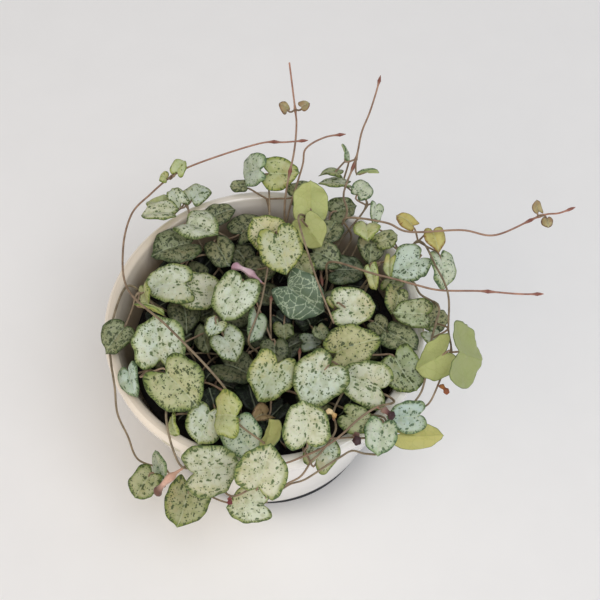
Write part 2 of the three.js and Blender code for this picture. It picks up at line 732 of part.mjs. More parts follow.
function solidOf(geometry) {
  geometry.deleteAttribute('normal');
  geometry.deleteAttribute('uv');
  const merged = mergeVertices(geometry, 1e-4);
  const place = merged.getAttribute('position');
  const corners = [];
  for (let i = 0; i < place.count; i += 1) {
    corners.push([place.getX(i), place.getY(i), place.getZ(i)]);
  }
  const faces = [];
  const order = merged.getIndex().array;
  for (let i = 0; i < order.length; i += 3) {
    const [a, b, c] = [order[i], order[i + 1], order[i + 2]];
    if (a !== b && b !== c && c !== a) {
      faces.push([a, b, c]);
    }
  }
  return solidFrom(corners, faces);
}

function geometryOf(solid) {
  const mesh = solid.getMesh();
  const geometry = new THREE.BufferGeometry();
  geometry.setAttribute('position', new THREE.BufferAttribute(mesh.vertProperties, 3));
  geometry.setIndex(new THREE.BufferAttribute(mesh.triVerts, 1));
  geometry.computeVertexNormals();
  return geometry;
}

// A heart-shaped blade like a thin lens: both faces are the same fans round a bulge in each half
function bladeSolid(blade) {
  const corners = [];
  const faces = [];
  const last = heartHalf.length - 1;
  const put = (across, ahead, height) => corners.push(bladePoint(blade, across, ahead, height)) - 1;
  const notch = put(0, heartHalf[0][1], 0);
  const tip = put(0, heartHalf[last][1], 0);
  const half = bladeThickness / 2;
  const rib = [put(0, heartMiddle, half * ribRise), put(0, heartMiddle, -half * ribRise)];
  for (const side of [-1, 1]) {
    const rim = [notch];
    for (const [across, ahead] of heartHalf.slice(1, last)) {
      rim.push(put(side * across, ahead, 0));
    }
    rim.push(tip);
    for (const face of [0, 1]) {
      const rise = face === 0 ? half * bulgeRise : -half * ribRise;
      const bulge = put(side * bulgePlace[0], bulgePlace[1], rise);
      const ring = [...rim, rib[face]];
      for (const [index, corner] of ring.entries()) {
        const next = ring[(index + 1) % ring.length];
        const turned = (side === 1) === (face === 0);
        faces.push(turned ? [bulge, next, corner] : [bulge, corner, next]);
      }
    }
  }
  return solidFrom(corners, faces);
}

// A line of straight chords as a curve, with its corners at even steps
class Route extends THREE.Curve {
  constructor(line) {
    super();
    this.line = line.map((point) => new THREE.Vector3(...point));
  }

  getPoint(t, target = new THREE.Vector3()) {
    const place = t * (this.line.length - 1);
    const index = Math.min(Math.floor(place), this.line.length - 2);
    return target.lerpVectors(this.line[index], this.line[index + 1], place - index);
  }

  getPointAt(u, target) {
    return this.getPoint(u, target);
  }

  getTangentAt(u, target) {
    return this.getTangent(u, target);
  }
}

function tubeSolid(line, radius, sides) {
  const section = new THREE.Shape();
  for (let side = 0; side < sides; side += 1) {
    const angle = 2 * Math.PI * side / sides;
    const [x, y] = [radius * Math.cos(angle), radius * Math.sin(angle)];
    if (side === 0) {
      section.moveTo(x, y);
    } else {
      section.lineTo(x, y);
    }
  }
  return solidOf(new THREE.ExtrudeGeometry(section, {
    steps: line.length - 1,
    extrudePath: new Route(line),
    bevelEnabled: false,
    curveSegments: 1,
  }));
}

function addPiece(name, solid, colour, roughness) {
  const material = new THREE.MeshStandardMaterial({ color: colour, roughness, metalness: 0 });
  const mesh = new THREE.Mesh(geometryOf(solid), material);
  mesh.name = name;
  group.add(mesh);
}

const group = new THREE.Group();

// The pot: a flat foot, a tapering wall, a collar below a rolled rim, and a plain floor inside
const potProfile = [
  [0, 0], [footRadius - 1, 0], [footRadius, 1],
  [outerRadius(potHeight - collarHeight), potHeight - collarHeight],
  [rimRadius - 0.4, potHeight - collarHeight + 1.4],
  [rimRadius, potHeight - 2.5], [rimRadius - 1, potHeight - 0.7], [rimRadius - 3, potHeight],
  [rimRadius - rimWidth + 1.2, potHeight - 0.6], [innerRadius(potHeight), potHeight - rimDrop],
  [innerRadius(floorThickness + floorFillet), floorThickness + floorFillet],
  [innerRadius(floorThickness) - floorFillet, floorThickness], [0, floorThickness],
].map(([x, y]) => new THREE.Vector2(x, y));
const potTurn = new THREE.LatheGeometry(potProfile, potSegments);
potTurn.rotateX(Math.PI / 2);
const potSolid = solidOf(potTurn);
addPiece('pot', potSolid, 0xe9dfce, 0.25);

// The soil fills the pot and has a plain hole for each stem
const soilProfile = [
  [0, floorThickness + soilGap],
  [innerRadius(floorThickness) - floorFillet - soilGap, floorThickness + soilGap],
  [innerRadius(floorThickness + floorFillet) - soilGap, floorThickness + floorFillet + soilGap],
  [innerRadius(soilTop - soilDome) - soilGap, soilTop - soilDome],
  [innerRadius(soilTop) * 0.7, soilTop - soilDome * 0.3], [0, soilTop],
].map(([x, y]) => new THREE.Vector2(x, y));
const holeDepth = rootDepth + footRise + soilGap;
const soilTurn = new THREE.LatheGeometry(soilProfile, potSegments / 2);
soilTurn.rotateX(Math.PI / 2);
let soilSolid = solidOf(soilTurn);
for (const plant of plants) {
  const hole = new THREE.CylinderGeometry(holeRadius, holeRadius, holeDepth, holeSides);
  hole.rotateX(Math.PI / 2);
  hole.translate(plant.root[0], plant.root[1], soilTop + footRise - holeDepth / 2);
  soilSolid = soilSolid.subtract(solidOf(hole));
}
addPiece('soil', soilSolid, 0x231d1a, 0.95);

const leafColours = {
  silver: 0xa9bd97, mint: 0xaac7b0, young: 0xbcc782, olive: 0x8f9d6c,
  dark: 0x566b4c, net: 0x4d6b55, underside: 0x9db368, withered: 0x8d7a55,
};
const stemColour = 0x8a6a58;
for (const plant of plants) {
  const line = [[plant.root[0], plant.root[1], soilTop - rootDepth], ...plant.tube.line];
  let solid = tubeSolid(line, stemRadius, stemSides);
  for (const stalk of plant.stalks) {
    solid = solid.add(tubeSolid(stalk.line, stalkRadius, stalkSides));
  }
  const own = plant.nodes.flatMap((node) => node.pair);
  for (const blade of own) {
    solid = solid.add(bladeSolid(blade));
  }
  solid = solid.decompose().sort((a, b) => b.volume() - a.volume())[0];
  addPiece(plant.name, solid, own.length > 0 ? leafColours[own[0].tone] : stemColour, 0.5);
}

// A lantern flower: a stalk, a swollen base, a narrow neck and a flared mouth, along a bowed line
const bloomProfile = [
  [0, 0], [0.14, 0], [0.14, 0.24], [0.42, 0.4], [0.3, 0.62], [0.26, 0.74], [0.5, 0.88], [0.2, 1], [0, 1],
];
for (const bloom of blooms) {
  const plant = plants.find((one) => one.name === bloom.stem);
  const from = overRim(bloom.from);
  const mouth = overRim(bloom.mouth);
  const places = probePoints(plant.tube.line);
  const seat = places.reduce((best, point) => (apart(point, from) < apart(best, from) ? point : best));
  const ahead = unit(plus(mouth, seat, -1));
  const base = plus(seat, ahead, stemRadius + bloomGap);
  const length = apart(base, mouth);
  const outline = bloomProfile.map(([across, along]) => (
    new THREE.Vector2(across * bloom.width, along * length)));
  const turn = new THREE.LatheGeometry(outline, bloomSides);
  const side = unit(cross(ahead, [0, 0, 1]));
  const over = cross(side, ahead);
  const place = turn.getAttribute('position');
  for (let i = 0; i < place.count; i += 1) {
    const along = place.getY(i);
    const bow = bloomBow * length * Math.sin(Math.PI * along / length);
    let point = plus(base, ahead, along);
    point = plus(plus(point, side, place.getX(i)), over, -place.getZ(i) + bow);
    place.setXYZ(i, ...point);
  }
  addPiece(bloom.name, solidOf(turn), bloom.colour, 0.6);
}

export default group;
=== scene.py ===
# A string of hearts in a glazed pot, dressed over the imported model: finer leaves, stems,
# flowers, soil and glaze in the same places. Sizes and places are in millimetres until a mesh
# is made, and Blender's metres after that.
import math
from functools import partial

import bmesh
import bpy
import numpy as np
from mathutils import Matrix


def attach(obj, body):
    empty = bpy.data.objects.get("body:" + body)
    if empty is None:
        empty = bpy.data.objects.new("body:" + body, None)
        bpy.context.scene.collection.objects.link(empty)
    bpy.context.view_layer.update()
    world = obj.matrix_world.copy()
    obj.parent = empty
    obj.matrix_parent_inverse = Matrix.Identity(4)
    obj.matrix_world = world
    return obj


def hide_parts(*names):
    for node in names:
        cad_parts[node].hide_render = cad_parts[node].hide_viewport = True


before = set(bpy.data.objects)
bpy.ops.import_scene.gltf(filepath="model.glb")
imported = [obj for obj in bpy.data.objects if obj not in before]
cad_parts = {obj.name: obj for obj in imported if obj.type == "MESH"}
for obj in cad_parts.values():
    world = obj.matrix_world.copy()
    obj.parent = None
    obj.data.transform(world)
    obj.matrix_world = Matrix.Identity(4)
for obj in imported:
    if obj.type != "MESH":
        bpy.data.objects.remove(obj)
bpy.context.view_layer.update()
print("frame loaded:", len(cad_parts), "nodes")

metre = 0.001  # one millimetre in Blender's metres

# The pot's own sizes
pot = {
    "height": 88, "rimRadius": 66, "rimWidth": 6, "rimDrop": 4, "collarHeight": 8,
    "collarStep": 1.6, "footRadius": 44.5, "wall": 4, "floor": 6, "segments": 144,
}

# The soil's own sizes
soil = {
    "top": 68, "dome": 1.5, "gap": 0.4, "rootDepth": 9, "rootSpacing": 5, "rootReach": 45,
    "rootPull": 0.9, "footRise": 2.5, "footLength": 3, "stalkDepth": 3,
}

# Stems, stalks and leaves as they grow, with the coarse chords that the layout is tested on
plant = {
    "stemRadius": 0.65, "stemChord": 11, "stalkRadius": 0.5, "stalkChord": 9,
    "stalkDrop": 4.5, "stalkSink": 2.6, "stalkBehind": 1.6, "stalkBelow": 0.8, "longStalk": 8,
    "hairpin": 0.5, "longSpan": 9, "witheredFold": 0.7, "leastFold": 0.04, "foldSpan": 0.14,
    "leastDroop": 0.2, "droopSpan": 0.9, "bloomGap": 0.45, "bloomBow": 0.16,
    "bladeRoom": 1.0,
}

# Clear distances between the pieces of one stem and those of another, and how far points move
clear = {
    "leaf": 2.1, "leafMargin": 1.2, "meetShare": 0.28, "meetExtra": 4, "tube": 1.1,
    "plate": 1.5, "plateMargin": 0.8, "ownEase": 0.8, "notchReach": 4, "pot": 1.4,
    "hangBelow": 15, "probesEach": 4, "nodeEase": 0.6, "routeEase": 0.2, "stalkEase": 0.3,
    "shortStalkEase": 0.5, "easeGrowth": 0.02, "bendRounds": 900, "leastGain": 1e-6,
    "partRounds": 160, "spreadRounds": 80, "liftStep": 0.25, "sinkStep": 0.2, "potStep": 0.4,
}

# Darker leaves deep in the pot, placed by a seeded rule
deep = {
    "leaves": 19, "each": 4, "reach": 46, "spacing": 9, "lift": (-13, -4), "width": (10, 16),
    "lean": 0.6, "leanMiddle": (0.5, 0.7), "attempts": 20000, "seed": 20266,
}

towardsEye = np.array([0, -0.524, 0.852])  # crowding leaves part along this line

# Half of a heart-shaped blade: across in half widths, along in lengths from the notch
heartHalf = [
    (0, 0.05), (0.3, -0.12), (0.66, -0.13), (0.93, 0.04),
    (1, 0.3), (0.88, 0.6), (0.52, 0.83), (0, 0.95),
]
heart = {"middle": 0.4, "reach": 0.55, "bulge": (0.48, 0.36), "notchShare": 0.35}

# Each stem from the root outwards: a route point (x, y, height over the rim), or a leaf pair
# or single leaf, each leaf as (x, y, height over the rim, width, heading of the tip,
# lean in x, lean in y, tone, length)
stemPaths = [
    ("vine_rim_northwest", [
        [(-38, 56, 7, 9.5, 120, 0.2, -0.2, "silver"), (-30, 58, 8, 11, 60, 0.2, 0, "silver")],
        [(-45, 48, 6, 14, 180, -0.1, 0.35, "silver"), (-46, 55, 4, 11, 150, 0, 0.3, "young")]]),
    ("vine_inner_northwest", [[(-19, 33, 0, 13, -60, 0, -0.2, "dark"), (-8, 47, -2, 14, 40, 0, 0, "dark")],
        [(-28, 39, 9, 19, -33, 0, 0.28, "silver", 16), (-20, 51, 2, 12, 30, 0, 0, "dark")]]),
    ("vine_dark_west", [[(-38, 34, 2, 20, 200, 0, 0.1, "dark", 18), (-30, 25, -6, 12, -40, 0, 0, "dark")]]),
    ("vine_pair_west", [
        [(-39, 12, 8, 17, 178, -0.05, -0.25, "silver", 18),
         (-26, 10, 5, 17, -5, 0.1, -0.2, "silver", 17)]]),
    ("vine_young_west", [
        [(-48, 5, 10, 9, -70, -0.85, -0.1, "young", 12), (-45, -1, 10, 7, -20, 0.3, 0.75, "young", 11)],
        [(-59, -13, 7, 13, -125, -0.1, -0.3, "dark")]]),
    ("vine_silver_west", [
        [(-24, -9, 1, 13, -90, -0.8, -0.2, "dark"), (-41, -18, 12, 21, 95, 0, -0.4, "silver", 20)]]),
    ("vine_southwest", [
        [(-32, -38, 14, 21, -50, 0, -0.45, "olive"), (-52, -30, 4, 12, -80, -0.7, -0.3, "mint")]]),
    ("vine_rim_southwest", [
        [(-34, -50, 4, 8, -60, -0.9, -0.1, "young", 10), (-22, -51, 6, 15, -110, 0, -0.45, "silver")]]),
    ("vine_middle_west", [
        [(-14, -14, 4, 13, -60, 0.1, -0.3, "silver"), (-19, -8, 8, 8, -120, 0, -0.3, "silver")],
        [(-12, 2, 14, 18, -115, 0, -0.4, "silver"), (-4, -7, 6, 13, -90, 0.85, -0.25, "mint")]]),
    ("vine_dark_middle", [
        [(-11, -21, -4, 17, -30, 0, 0.1, "dark"), (4, -14, -3, 11, -90, 0, -0.3, "dark")]]),
    ("vine_top_north", [
        [(-5, 64, 16, 15, 180, -0.75, -0.3, "mint", 14), (6, 62, 16, 14, 0, 0, -0.45, "young")]]),
    ("vine_rim_north", [[(16, 60, 5, 13, 20, 0, 0.05, "dark"), (-12, 64, 4, 7.5, 180, 0, 0.1, "dark")]]),
    ("vine_upright_north", [
        [(19, 45, 20, 14.5, 90, 0, 0.75, "underside", 16), (19, 33, 15, 14, -60, 0, 0.5, "underside")],
        (14, 32, 24), (21, 7, 20), (28, -10, 13)]),
    ("vine_dark_north", [[(-2, 26, -3, 13, 0, 0, -0.1, "dark"), (15, 21, 6, 12, -60, 0, -0.3, "olive")]]),
    ("vine_middle_north", [(-6, -15, 10), (-2, -1, 16),
        [(1, 34, 13, 16, 125, 0, -0.5, "lemon"), (7, 22, 18, 18, -75, 0, -0.4, "lemon")]]),
    ("vine_rim_northeast", [
        [(46, 48, 7, 8, -80, 0.7, -0.3, "mint"), (41, 59, 8, 8, 60, 0.4, -0.3, "mint")],
        [(28, 67, 10, 9, 175, 0, 0.45, "olive", 10), (30, 62, 9, 12, 178, 0, 0.62, "silver", 13)]]),
    ("vine_dark_northeast", [[(33, 53, 3, 12, 20, 0, -0.3, "dark"), (27, 42, 2, 11.5, 60, 0, 0, "dark")]]),
    ("vine_middle_northeast", [
        [(25, 28, 4, 14, -30, 0, -0.2, "dark"), (34, 25, -2, 14, 0, 0, -0.1, "dark")]]),
    ("vine_young_northeast", [
        [(44, 31, 5, 12, -90, 0.3, -0.4, "dark"), (42, 34, 14, 12, -90, 0, 0.25, "young", 11)],
        [(51, 34, 8, 10, 30, 0, 0, "olive"), (59, 21, 8, 16, -140, 0, -0.25, "mint")]]),
    ("vine_hanging_east", [
        [(59, 39, 14, 8.5, 140, 0.2, 0, "amber"), (70, 30, 14, 9, -70, 0.3, -0.2, "amber"),
         (74, 21, 5, 13, -60, 0.6, -0.35, "mint", 15)], (69, 17, 16), (72, 0, 16), (73, -14, 15),
        [(79, -25, 14, 26, -5, -0.8, 0.26, "underside", 21),
         (67, -25, 11, 18, 195, 0.6, 0.2, "underside", 16)], (69, -34, 11), (65, -42, 8), (62, -43, 4)]),
    ("vine_young_east", [
        [(44, 13, 12, 7, -90, -0.5, -0.4, "young", 11), (51, 17, 13, 6, -110, -0.5, -0.4, "young", 9)],
        [(54, 5, 6, 11, -100, 0.4, -0.3, "olive"), (53, 15, 3, 9, 60, 0.2, 0.2, "olive")]]),
    ("vine_rim_east", [
        [(55, -12, 4, 14, -40, 0, 0.1, "dark"), (60, -3, 9, 13, 180, 0.1, -0.3, "olive", 14)],
        [(69, -3, 5, 12, -120, 0.5, -0.3, "dark"), (68, -11, 3, 8, -60, 0.3, -0.3, "silver")]]),
    ("vine_middle_east", [
        [(36, -2, 12, 16.5, 0, 0, -0.45, "silver"), (28, 4, 8, 5, 120, 0, -0.3, "young")],
        [(47, -5, 2, 9, -40, 0, -0.2, "dark")]]),
    ("vine_net_middle", [[(15, 8, 4, 19.5, -40, 0, -0.45, "net"), (8, -6, 0, 7.5, -90, 0, -0.3, "olive")]]),
    ("vine_small_middle", [[(19, -10, -2, 8, 0, 0, -0.3, "mint"), (26, -14, -4, 9, -60, 0, -0.3, "dark")],
        [(23, -9, 4, 7, -60, 0, -0.2, "dark"), (31, -10, 0, 9, 30, 0, -0.2, "dark")]]),
    ("vine_big_southeast", [
        [(35, -18, 9, 18, 20, 0, -0.3, "olive", 20), (55, -29, 8, 17, -60, 0.1, -0.5, "olive")]]),
    ("vine_pair_southeast", [
        [(21, -36, 15, 20, -125, 0, -0.5, "silver"), (40, -36, 12, 19, 155, 0, -0.5, "silver")]]),
    ("vine_rim_southeast", [
        [(36, -49, 6, 12, -30, 0, -0.2, "olive"), (45, -55, 5, 13, -100, 0, -0.4, "mint")],
        [(56, -47, 5, 13.5, 185, 0.1, -0.5, "mint"), (60, -53, 0, 11, 0, 0, 0.5, "underside", 19)]]),
    ("vine_south", [
        [(17, -53, 12, 18, 92, 0, -0.35, "silver", 17), (23, -62, 5, 14, 60, 0, -0.3, "silver")]]),
    ("vine_top_south", [
        [(3, -35, 15, 18, -115, 0, -0.45, "lemon"), (-1, -46, 3, 9, -150, 0.3, 0.2, "withered")]]),
    ("vine_front", [
        [(-7, -57, 6, 16, -60, 0, -0.4, "mint"), (-13, -50, 13, 19, 180, -0.75, -0.3, "young", 14)],
        [(3, -57, 9, 14, 100, 0.8, -0.3, "underside")]]),
    ("vine_over_front", [(-36, -46, 7), (-31, -65, 1), [(-19, -68, 2, 20, 15, -0.05, -0.6, "silver")],
        (-12, -77, -2), [(1, -67, 4, 19, 75, 0.05, -0.5, "silver", 17)]]),
    ("vine_festoon", [(-56, 10, 9), (-63, -8, 5), (-61, -20, 3.5), (-57, -33, 2.5), (-57, -39, -7),
        (-56, -41, -25), (-52, -46, -37),
        [(-50, -54, -42, 13, -125, -0.1, -0.5, "olive"), (-44, -48, -39, 12, 90, -0.8, -0.4, "mint")],
        [(-32, -66, -35, 18, -105, 0, -0.5, "olive")], (-15, -66, -35),
        [(-6, -67, -32, 16, 185, 0, -0.5, "silver")]]),
    ("runner_arch", [(-9, -44, 9), (-20, -38, 19), (-38, -21, 21), (-54, 2, 18), (-58, 24, 15),
        (-56, 43, 13), (-49, 54, 12),
        [(-37, 67, 14, 8, 60, 0, -0.3, "young"), (-44, 64, 12, 4.5, 160, 0, -0.3, "young")], (-28, 68, 16),
        (-3, 75, 20), (8, 75, 21), (18, 76, 21)]),
    ("runner_upright", [(8, 44, 12), (9, 52, 20), (12, 65, 27), (13, 75, 32),
        [(8, 82, 36, 4.5, 150, 0.3, -0.3, "tiny"), (17, 83, 36, 4.5, 30, -0.3, -0.3, "tiny")],
        (10, 101, 42)]),
    ("runner_north", [(10, 52, 8), (15, 66, 16), (17, 71, 21), (25, 76, 23), (34, 77, 24)]),
    ("runner_far_north", [(34, 49, 5), (36, 57, 10),
        [(34, 71, 19, 6, 112, 0.9, 0.1, "mint", 8), (43, 64, 15, 6, -8, 0, 0.8, "mint", 8)], (40, 77, 25),
        (44, 85, 28), (47, 94, 31), (49, 101, 34)]),
    ("runner_east", [(35, 41, 12), (50, 36, 15), (60, 33, 16), (80, 30, 18), (96, 31, 19),
        [(112, 41, 21, 5, 100, 0, -0.3, "tiny"), (116, 34, 20, 4, -80, 0, -0.3, "tiny")], (121, 38, 21),
        (128, 41, 21)]),
    ("runner_low_east", [(27, 20, 12), (44, 11, 17), (53, 9, 16), (61, 7, 15), (71, 5, 14), (87, 4, 15),
        (102, 2, 16), (112, 2, 16)]),
    ("runner_round_east", [(47, 18, 5), (57, 15, 8), (64, 8, 8), (70, 0, 8), (71, -9, 8), (69, -16, 7),
        (65, -22, 6), (63, -29, 5), (62, -36, 4), (58, -42, 4), (54, -49, 4), (47, -53, 5), (38, -55, 6),
        (27, -56, 7), (18, -58, 8)]),
    ("runner_across_south", [(44, -31, -6), (49, -39, 1), (50, -42, 8), (44, -46, 11), (37, -51, 11),
        (30, -58, 11), (23, -62, 11), (16, -66, 10), (9, -69, 10), (0, -71, 11), (-8, -72, 11)]),
    ("runner_over_south", [(30, -28, -8), (32, -33, 1), (30, -44, 4), (27, -54, 8), (23, -60, 9),
        (19, -67, 8), (15, -71, 3), (10, -71, -4), (6, -71, -10), (1, -72, -16)]),
    ("runner_low_south", [(46, -42, -5), (48, -51, 3), (45, -59, 2), (40, -61, 1), (34, -62, 4),
        (29, -64, 6), (23, -67, 6), (16, -71, 1), (11, -70, -7), (7, -70, -13)]),
]

# Small flowers: the stem that carries each, where it sits on it, where its mouth is
flowers = [
    {"name": "bloom_lilac", "stem": "vine_middle_north", "from": (0, 7, 17),
     "mouth": (-13, 15, 17), "width": 3.8},
    {"name": "bloom_salmon", "stem": "vine_over_front", "from": (-29, -68, 0),
     "mouth": (-41, -75, -6), "width": 3.8},
    {"name": "bloom_maroon_east", "stem": "runner_across_south", "from": (44, -46, 10),
     "mouth": (50, -52, 14), "width": 3.4},
    {"name": "bloom_maroon_front", "stem": "runner_round_east", "from": (36, -56, 6),
     "mouth": (36, -62, 13), "width": 3.4},
    {"name": "bloom_dried", "stem": "vine_hanging_east", "from": (68, -36, 11),
     "mouth": (71, -42, 15), "width": 2.4},
    {"name": "bloom_star", "stem": "runner_over_south", "from": (29, -46, 10),
     "mouth": (25, -49, 14), "width": 2.4},
    {"name": "bloom_bud", "stem": "vine_over_front", "from": (-12, -77, -2),
     "mouth": (-12, -81, 0), "width": 2.2},
]


def seededDraws(seed):  # a small generator of numbers from 0 to 1
    state = [seed]

    def draw():
        state[0] = (state[0] * 1664525 + 1013904223) % 4294967296
        return state[0] / 4294967296

    return draw


draw = seededDraws(deep["seed"])


def between(span):
    return span[0] + (span[1] - span[0]) * draw()


def unit(v):
    return v / math.sqrt(v @ v)


def overRim(row):  # a place given by its height over the rim
    return np.array([row[0], row[1], pot["height"] + row[2]], float)


def outerRadius(z):
    collar = pot["height"] - pot["collarHeight"]
    taper = pot["rimRadius"] - pot["collarStep"] - pot["footRadius"]
    return np.where(z > collar, pot["rimRadius"], pot["footRadius"] + taper * z / collar)


def innerRadius(z):
    foot = pot["footRadius"] - pot["wall"]
    share = np.minimum(1, z / (pot["height"] - pot["rimDrop"]))
    return foot + (pot["rimRadius"] - pot["rimWidth"] - foot) * share


def outerAt(z):
    return float(outerRadius(np.array(float(z))))


def innerAt(z):
    return float(innerRadius(z))


def spotWithin(reach, draw):  # a random place within a circle round the axis
    angle, away = 2 * math.pi * draw(), reach * math.sqrt(draw())
    return away * math.cos(angle), away * math.sin(angle)


def makeBlade(stem, row):  # a leaf's frame, middle and the points that it is tested with
    width, heading, leanX, leanY, tone = row[3:8]
    length = row[8] if len(row) > 8 else width
    flat = math.sqrt(max(1 - leanX * leanX - leanY * leanY, 0.01))
    up = unit(np.array([leanX, leanY, -flat if tone == "underside" else flat]))
    ahead = np.array([math.cos(math.radians(heading)), math.sin(math.radians(heading)), 0])
    along = unit(ahead - up * (ahead @ up))
    fold = plant["witheredFold"]
    if tone != "withered":
        fold = plant["leastFold"] + plant["foldSpan"] * draw()
    droop = plant["leastDroop"] + plant["droopSpan"] * draw()
    blade = {
        "stem": stem, "tone": tone, "width": width, "length": length, "fold": fold,
        "droop": droop, "up": up, "along": along, "across": np.cross(along, up),
        "middle": overRim(row),
    }
    places = []
    for side in (-1, 1):
        places += [(side * across, far) for across, far in heartHalf]
        places.append((side * heart["bulge"][0], heart["bulge"][1]))
    places.append((0, heart["middle"]))
    blade["probes"] = np.array([bladeOffset(blade, across, far) for across, far in places])
    return blade


def bladeOffset(blade, across, far):  # folded at the rib, drooping at both ends
    reach = (far - heart["middle"]) / heart["reach"]
    rise = blade["fold"] * abs(across) * blade["width"] / 2 - blade["droop"] * reach * reach
    return (blade["across"] * (across * blade["width"] / 2)
            + blade["along"] * ((far - heart["middle"]) * blade["length"]) + blade["up"] * rise)


def stackBlades(blades):  # the blades' numbers side by side, for tests of many at once
    keys = ("middle", "up", "along", "across", "width", "length", "fold", "droop", "stem")
    return {key: np.array([blade[key] for blade in blades], float) for key in keys}


def heightsOver(stack, points, margin):  # rows of blades by columns of points
    d = points[None] - stack["middle"][:, None]
    dotWith = lambda axis: np.einsum("kmi,ki->km", d, stack[axis])
    across = dotWith("across") / (stack["width"][:, None] / 2 + margin)
    ahead = dotWith("along") / (stack["length"][:, None] * heart["reach"] + margin)
    fold = (stack["fold"] * stack["width"] / 2)[:, None] * np.minimum(1, abs(across))
    height = dotWith("up") - (fold - stack["droop"][:, None] * ahead * ahead)
    return height, across * across + ahead * ahead <= 1


def heightOver(blade, points, margin):
    d = points - blade["middle"]
    across = d @ blade["across"] / (blade["width"] / 2 + margin)
    ahead = d @ blade["along"] / (blade["length"] * heart["reach"] + margin)
    fold = blade["fold"] * blade["width"] / 2 * np.minimum(1, abs(across))
    height = d @ blade["up"] - (fold - blade["droop"] * ahead * ahead)
    return height[across * across + ahead * ahead <= 1]


def bladesMeet(a, b):
    size = a["width"] + a["length"] + b["width"] + b["length"]
    if math.dist(a["middle"], b["middle"]) > size * clear["meetShare"] + clear["meetExtra"]:
        return False
    for one, other in ((a, b), (b, a)):
        height = heightOver(other, one["middle"] + one["probes"], clear["leafMargin"])
        above, below = height > clear["leaf"], height < -clear["leaf"]
        if not (above | below).all() or (above.any() and below.any()):
            return True
    return False


def bladePush(blade):  # which way a blade has to move off the pot or soil, or None
    points = blade["middle"] + blade["probes"]
    x, y, z = points.T
    radius = np.sqrt(x * x + y * y)
    inner, outer = innerRadius(z), outerRadius(z)
    inWall = (radius > inner - clear["pot"]) & (radius < outer + clear["pot"])
    inWall &= z < pot["height"] + clear["pot"]
    inSoil = (radius < inner) & (z < soil["top"] + clear["pot"])
    hits = np.flatnonzero(inWall | inSoil)
    if len(hits) == 0:
        return None
    first = hits[0]
    if not inWall[first]:
        return np.array([0, 0, 1.0])
    hanging = blade["middle"][2] < pot["height"] - clear["hangBelow"]
    if hanging and radius[first] > outer[first] - pot["wall"]:
        return unit(np.array([x[first], y[first], 0]))
    return towardsEye


def partBlades(blades):
    order = [blade["middle"] @ towardsEye for blade in blades]
    for _ in range(clear["partRounds"]):
        moved = False
        for i, blade in enumerate(blades):
            for j in range(i):
                if not bladesMeet(blade, blades[j]):
                    continue
                moved = True
                upper, lower = (blade, blades[j]) if order[i] >= order[j] else (blades[j], blade)
                upper["middle"] = upper["middle"] + towardsEye * clear["liftStep"]
                lower["middle"] = lower["middle"] - towardsEye * clear["sinkStep"]
            push = bladePush(blade)
            if push is not None:
                moved = True
                blade["middle"] = blade["middle"] + push * clear["potStep"]
        if not moved:
            break


def smoothLine(controls, chord):  # a smooth line through control points, in chords of about one length
    line = [controls[0]]
    for span in range(len(controls) - 1):
        p1, p2 = controls[span], controls[span + 1]
        p0 = controls[span - 1] if span > 0 else p1 + p1 - p2
        p3 = controls[span + 2] if span < len(controls) - 2 else p2 + p2 - p1
        steps = max(1, math.floor(math.dist(p1, p2) / chord + 0.5))
        t = np.arange(1, steps + 1)[:, None] / steps
        slope1, slope2, rise = (p2 - p0) / 2, (p3 - p1) / 2, p2 - p1
        curve = 3 * rise - 2 * slope1 - slope2 + t * (slope1 + slope2 - 2 * rise)
        line.extend(p1 + t * (slope1 + t * curve))
    return np.array(line)


def probePoints(line):  # points along a line's chords, close enough to test
    share = np.arange(clear["probesEach"])[None, :, None] / clear["probesEach"]
    points = line[:-1, None] + (line[1:, None] - line[:-1, None]) * share
    return np.vstack([points.reshape(-1, 3), line[-1:]])


grown = {"blades": [], "tubes": [], "stems": []}
crowd = {"stack": None, "points": np.zeros((0, 3)), "radii": np.zeros(0), "owners": np.zeros(0)}


def keepTube(tube):
    tube["points"] = probePoints(tube["line"])
    count = len(tube["points"])
    crowd["points"] = np.vstack([crowd["points"], tube["points"]])
    crowd["radii"] = np.append(crowd["radii"], np.full(count, tube["radius"]))
    crowd["owners"] = np.append(crowd["owners"], np.full(count, tube["stem"]))
    grown["tubes"].append(tube)


def crowding(line, radius, stem, target):  # how deep a tube runs into what is round it
    points = probePoints(line)
    span = np.linalg.norm(line - line[0], axis=1).max()
    stack = crowd["stack"]
    far = np.linalg.norm(stack["middle"] - points[0], axis=1)
    near = np.flatnonzero(far <= span + stack["length"] + stack["width"])
    total = 0.0
    if len(near):
        height, inside = heightsOver({k: v[near] for k, v in stack.items()}, points,
                                     radius + clear["plateMargin"])
        depth = clear["plate"] + radius - abs(height)
        depth -= np.where(stack["stem"][near] == stem, clear["ownEase"], 0)[:, None]
        if target is not None:
            own = near == target["index"]
            close = np.linalg.norm(points - target["notch"], axis=1) < clear["notchReach"]
            inside &= ~(own[:, None] & close[None])
        total += np.maximum(0, depth)[inside].sum()
    reach = radius + plant["stemRadius"] + clear["tube"]
    low, high = points.min(0) - reach, points.max(0) + reach
    others = crowd["owners"] != stem
    others &= ((crowd["points"] > low) & (crowd["points"] < high)).all(1)
    if others.any():
        gap = np.linalg.norm(points[:, None] - crowd["points"][others][None], axis=2)
        room = radius + crowd["radii"][others] + clear["tube"]
        total += np.maximum(0, room - gap).sum()
    x, y, z = points.T
    away, room = np.sqrt(x * x + y * y), clear["pot"] + radius
    inside, outside = away - (innerRadius(z) - room), outerRadius(z) + room - away
    wall = np.maximum(0, np.minimum(np.minimum(inside, outside), pot["height"] + room - z))
    ground = np.where(away < innerRadius(z), np.maximum(0, soil["top"] + room - z), 0)
    return total + (wall + ground)[z < pot["height"] + room].sum()


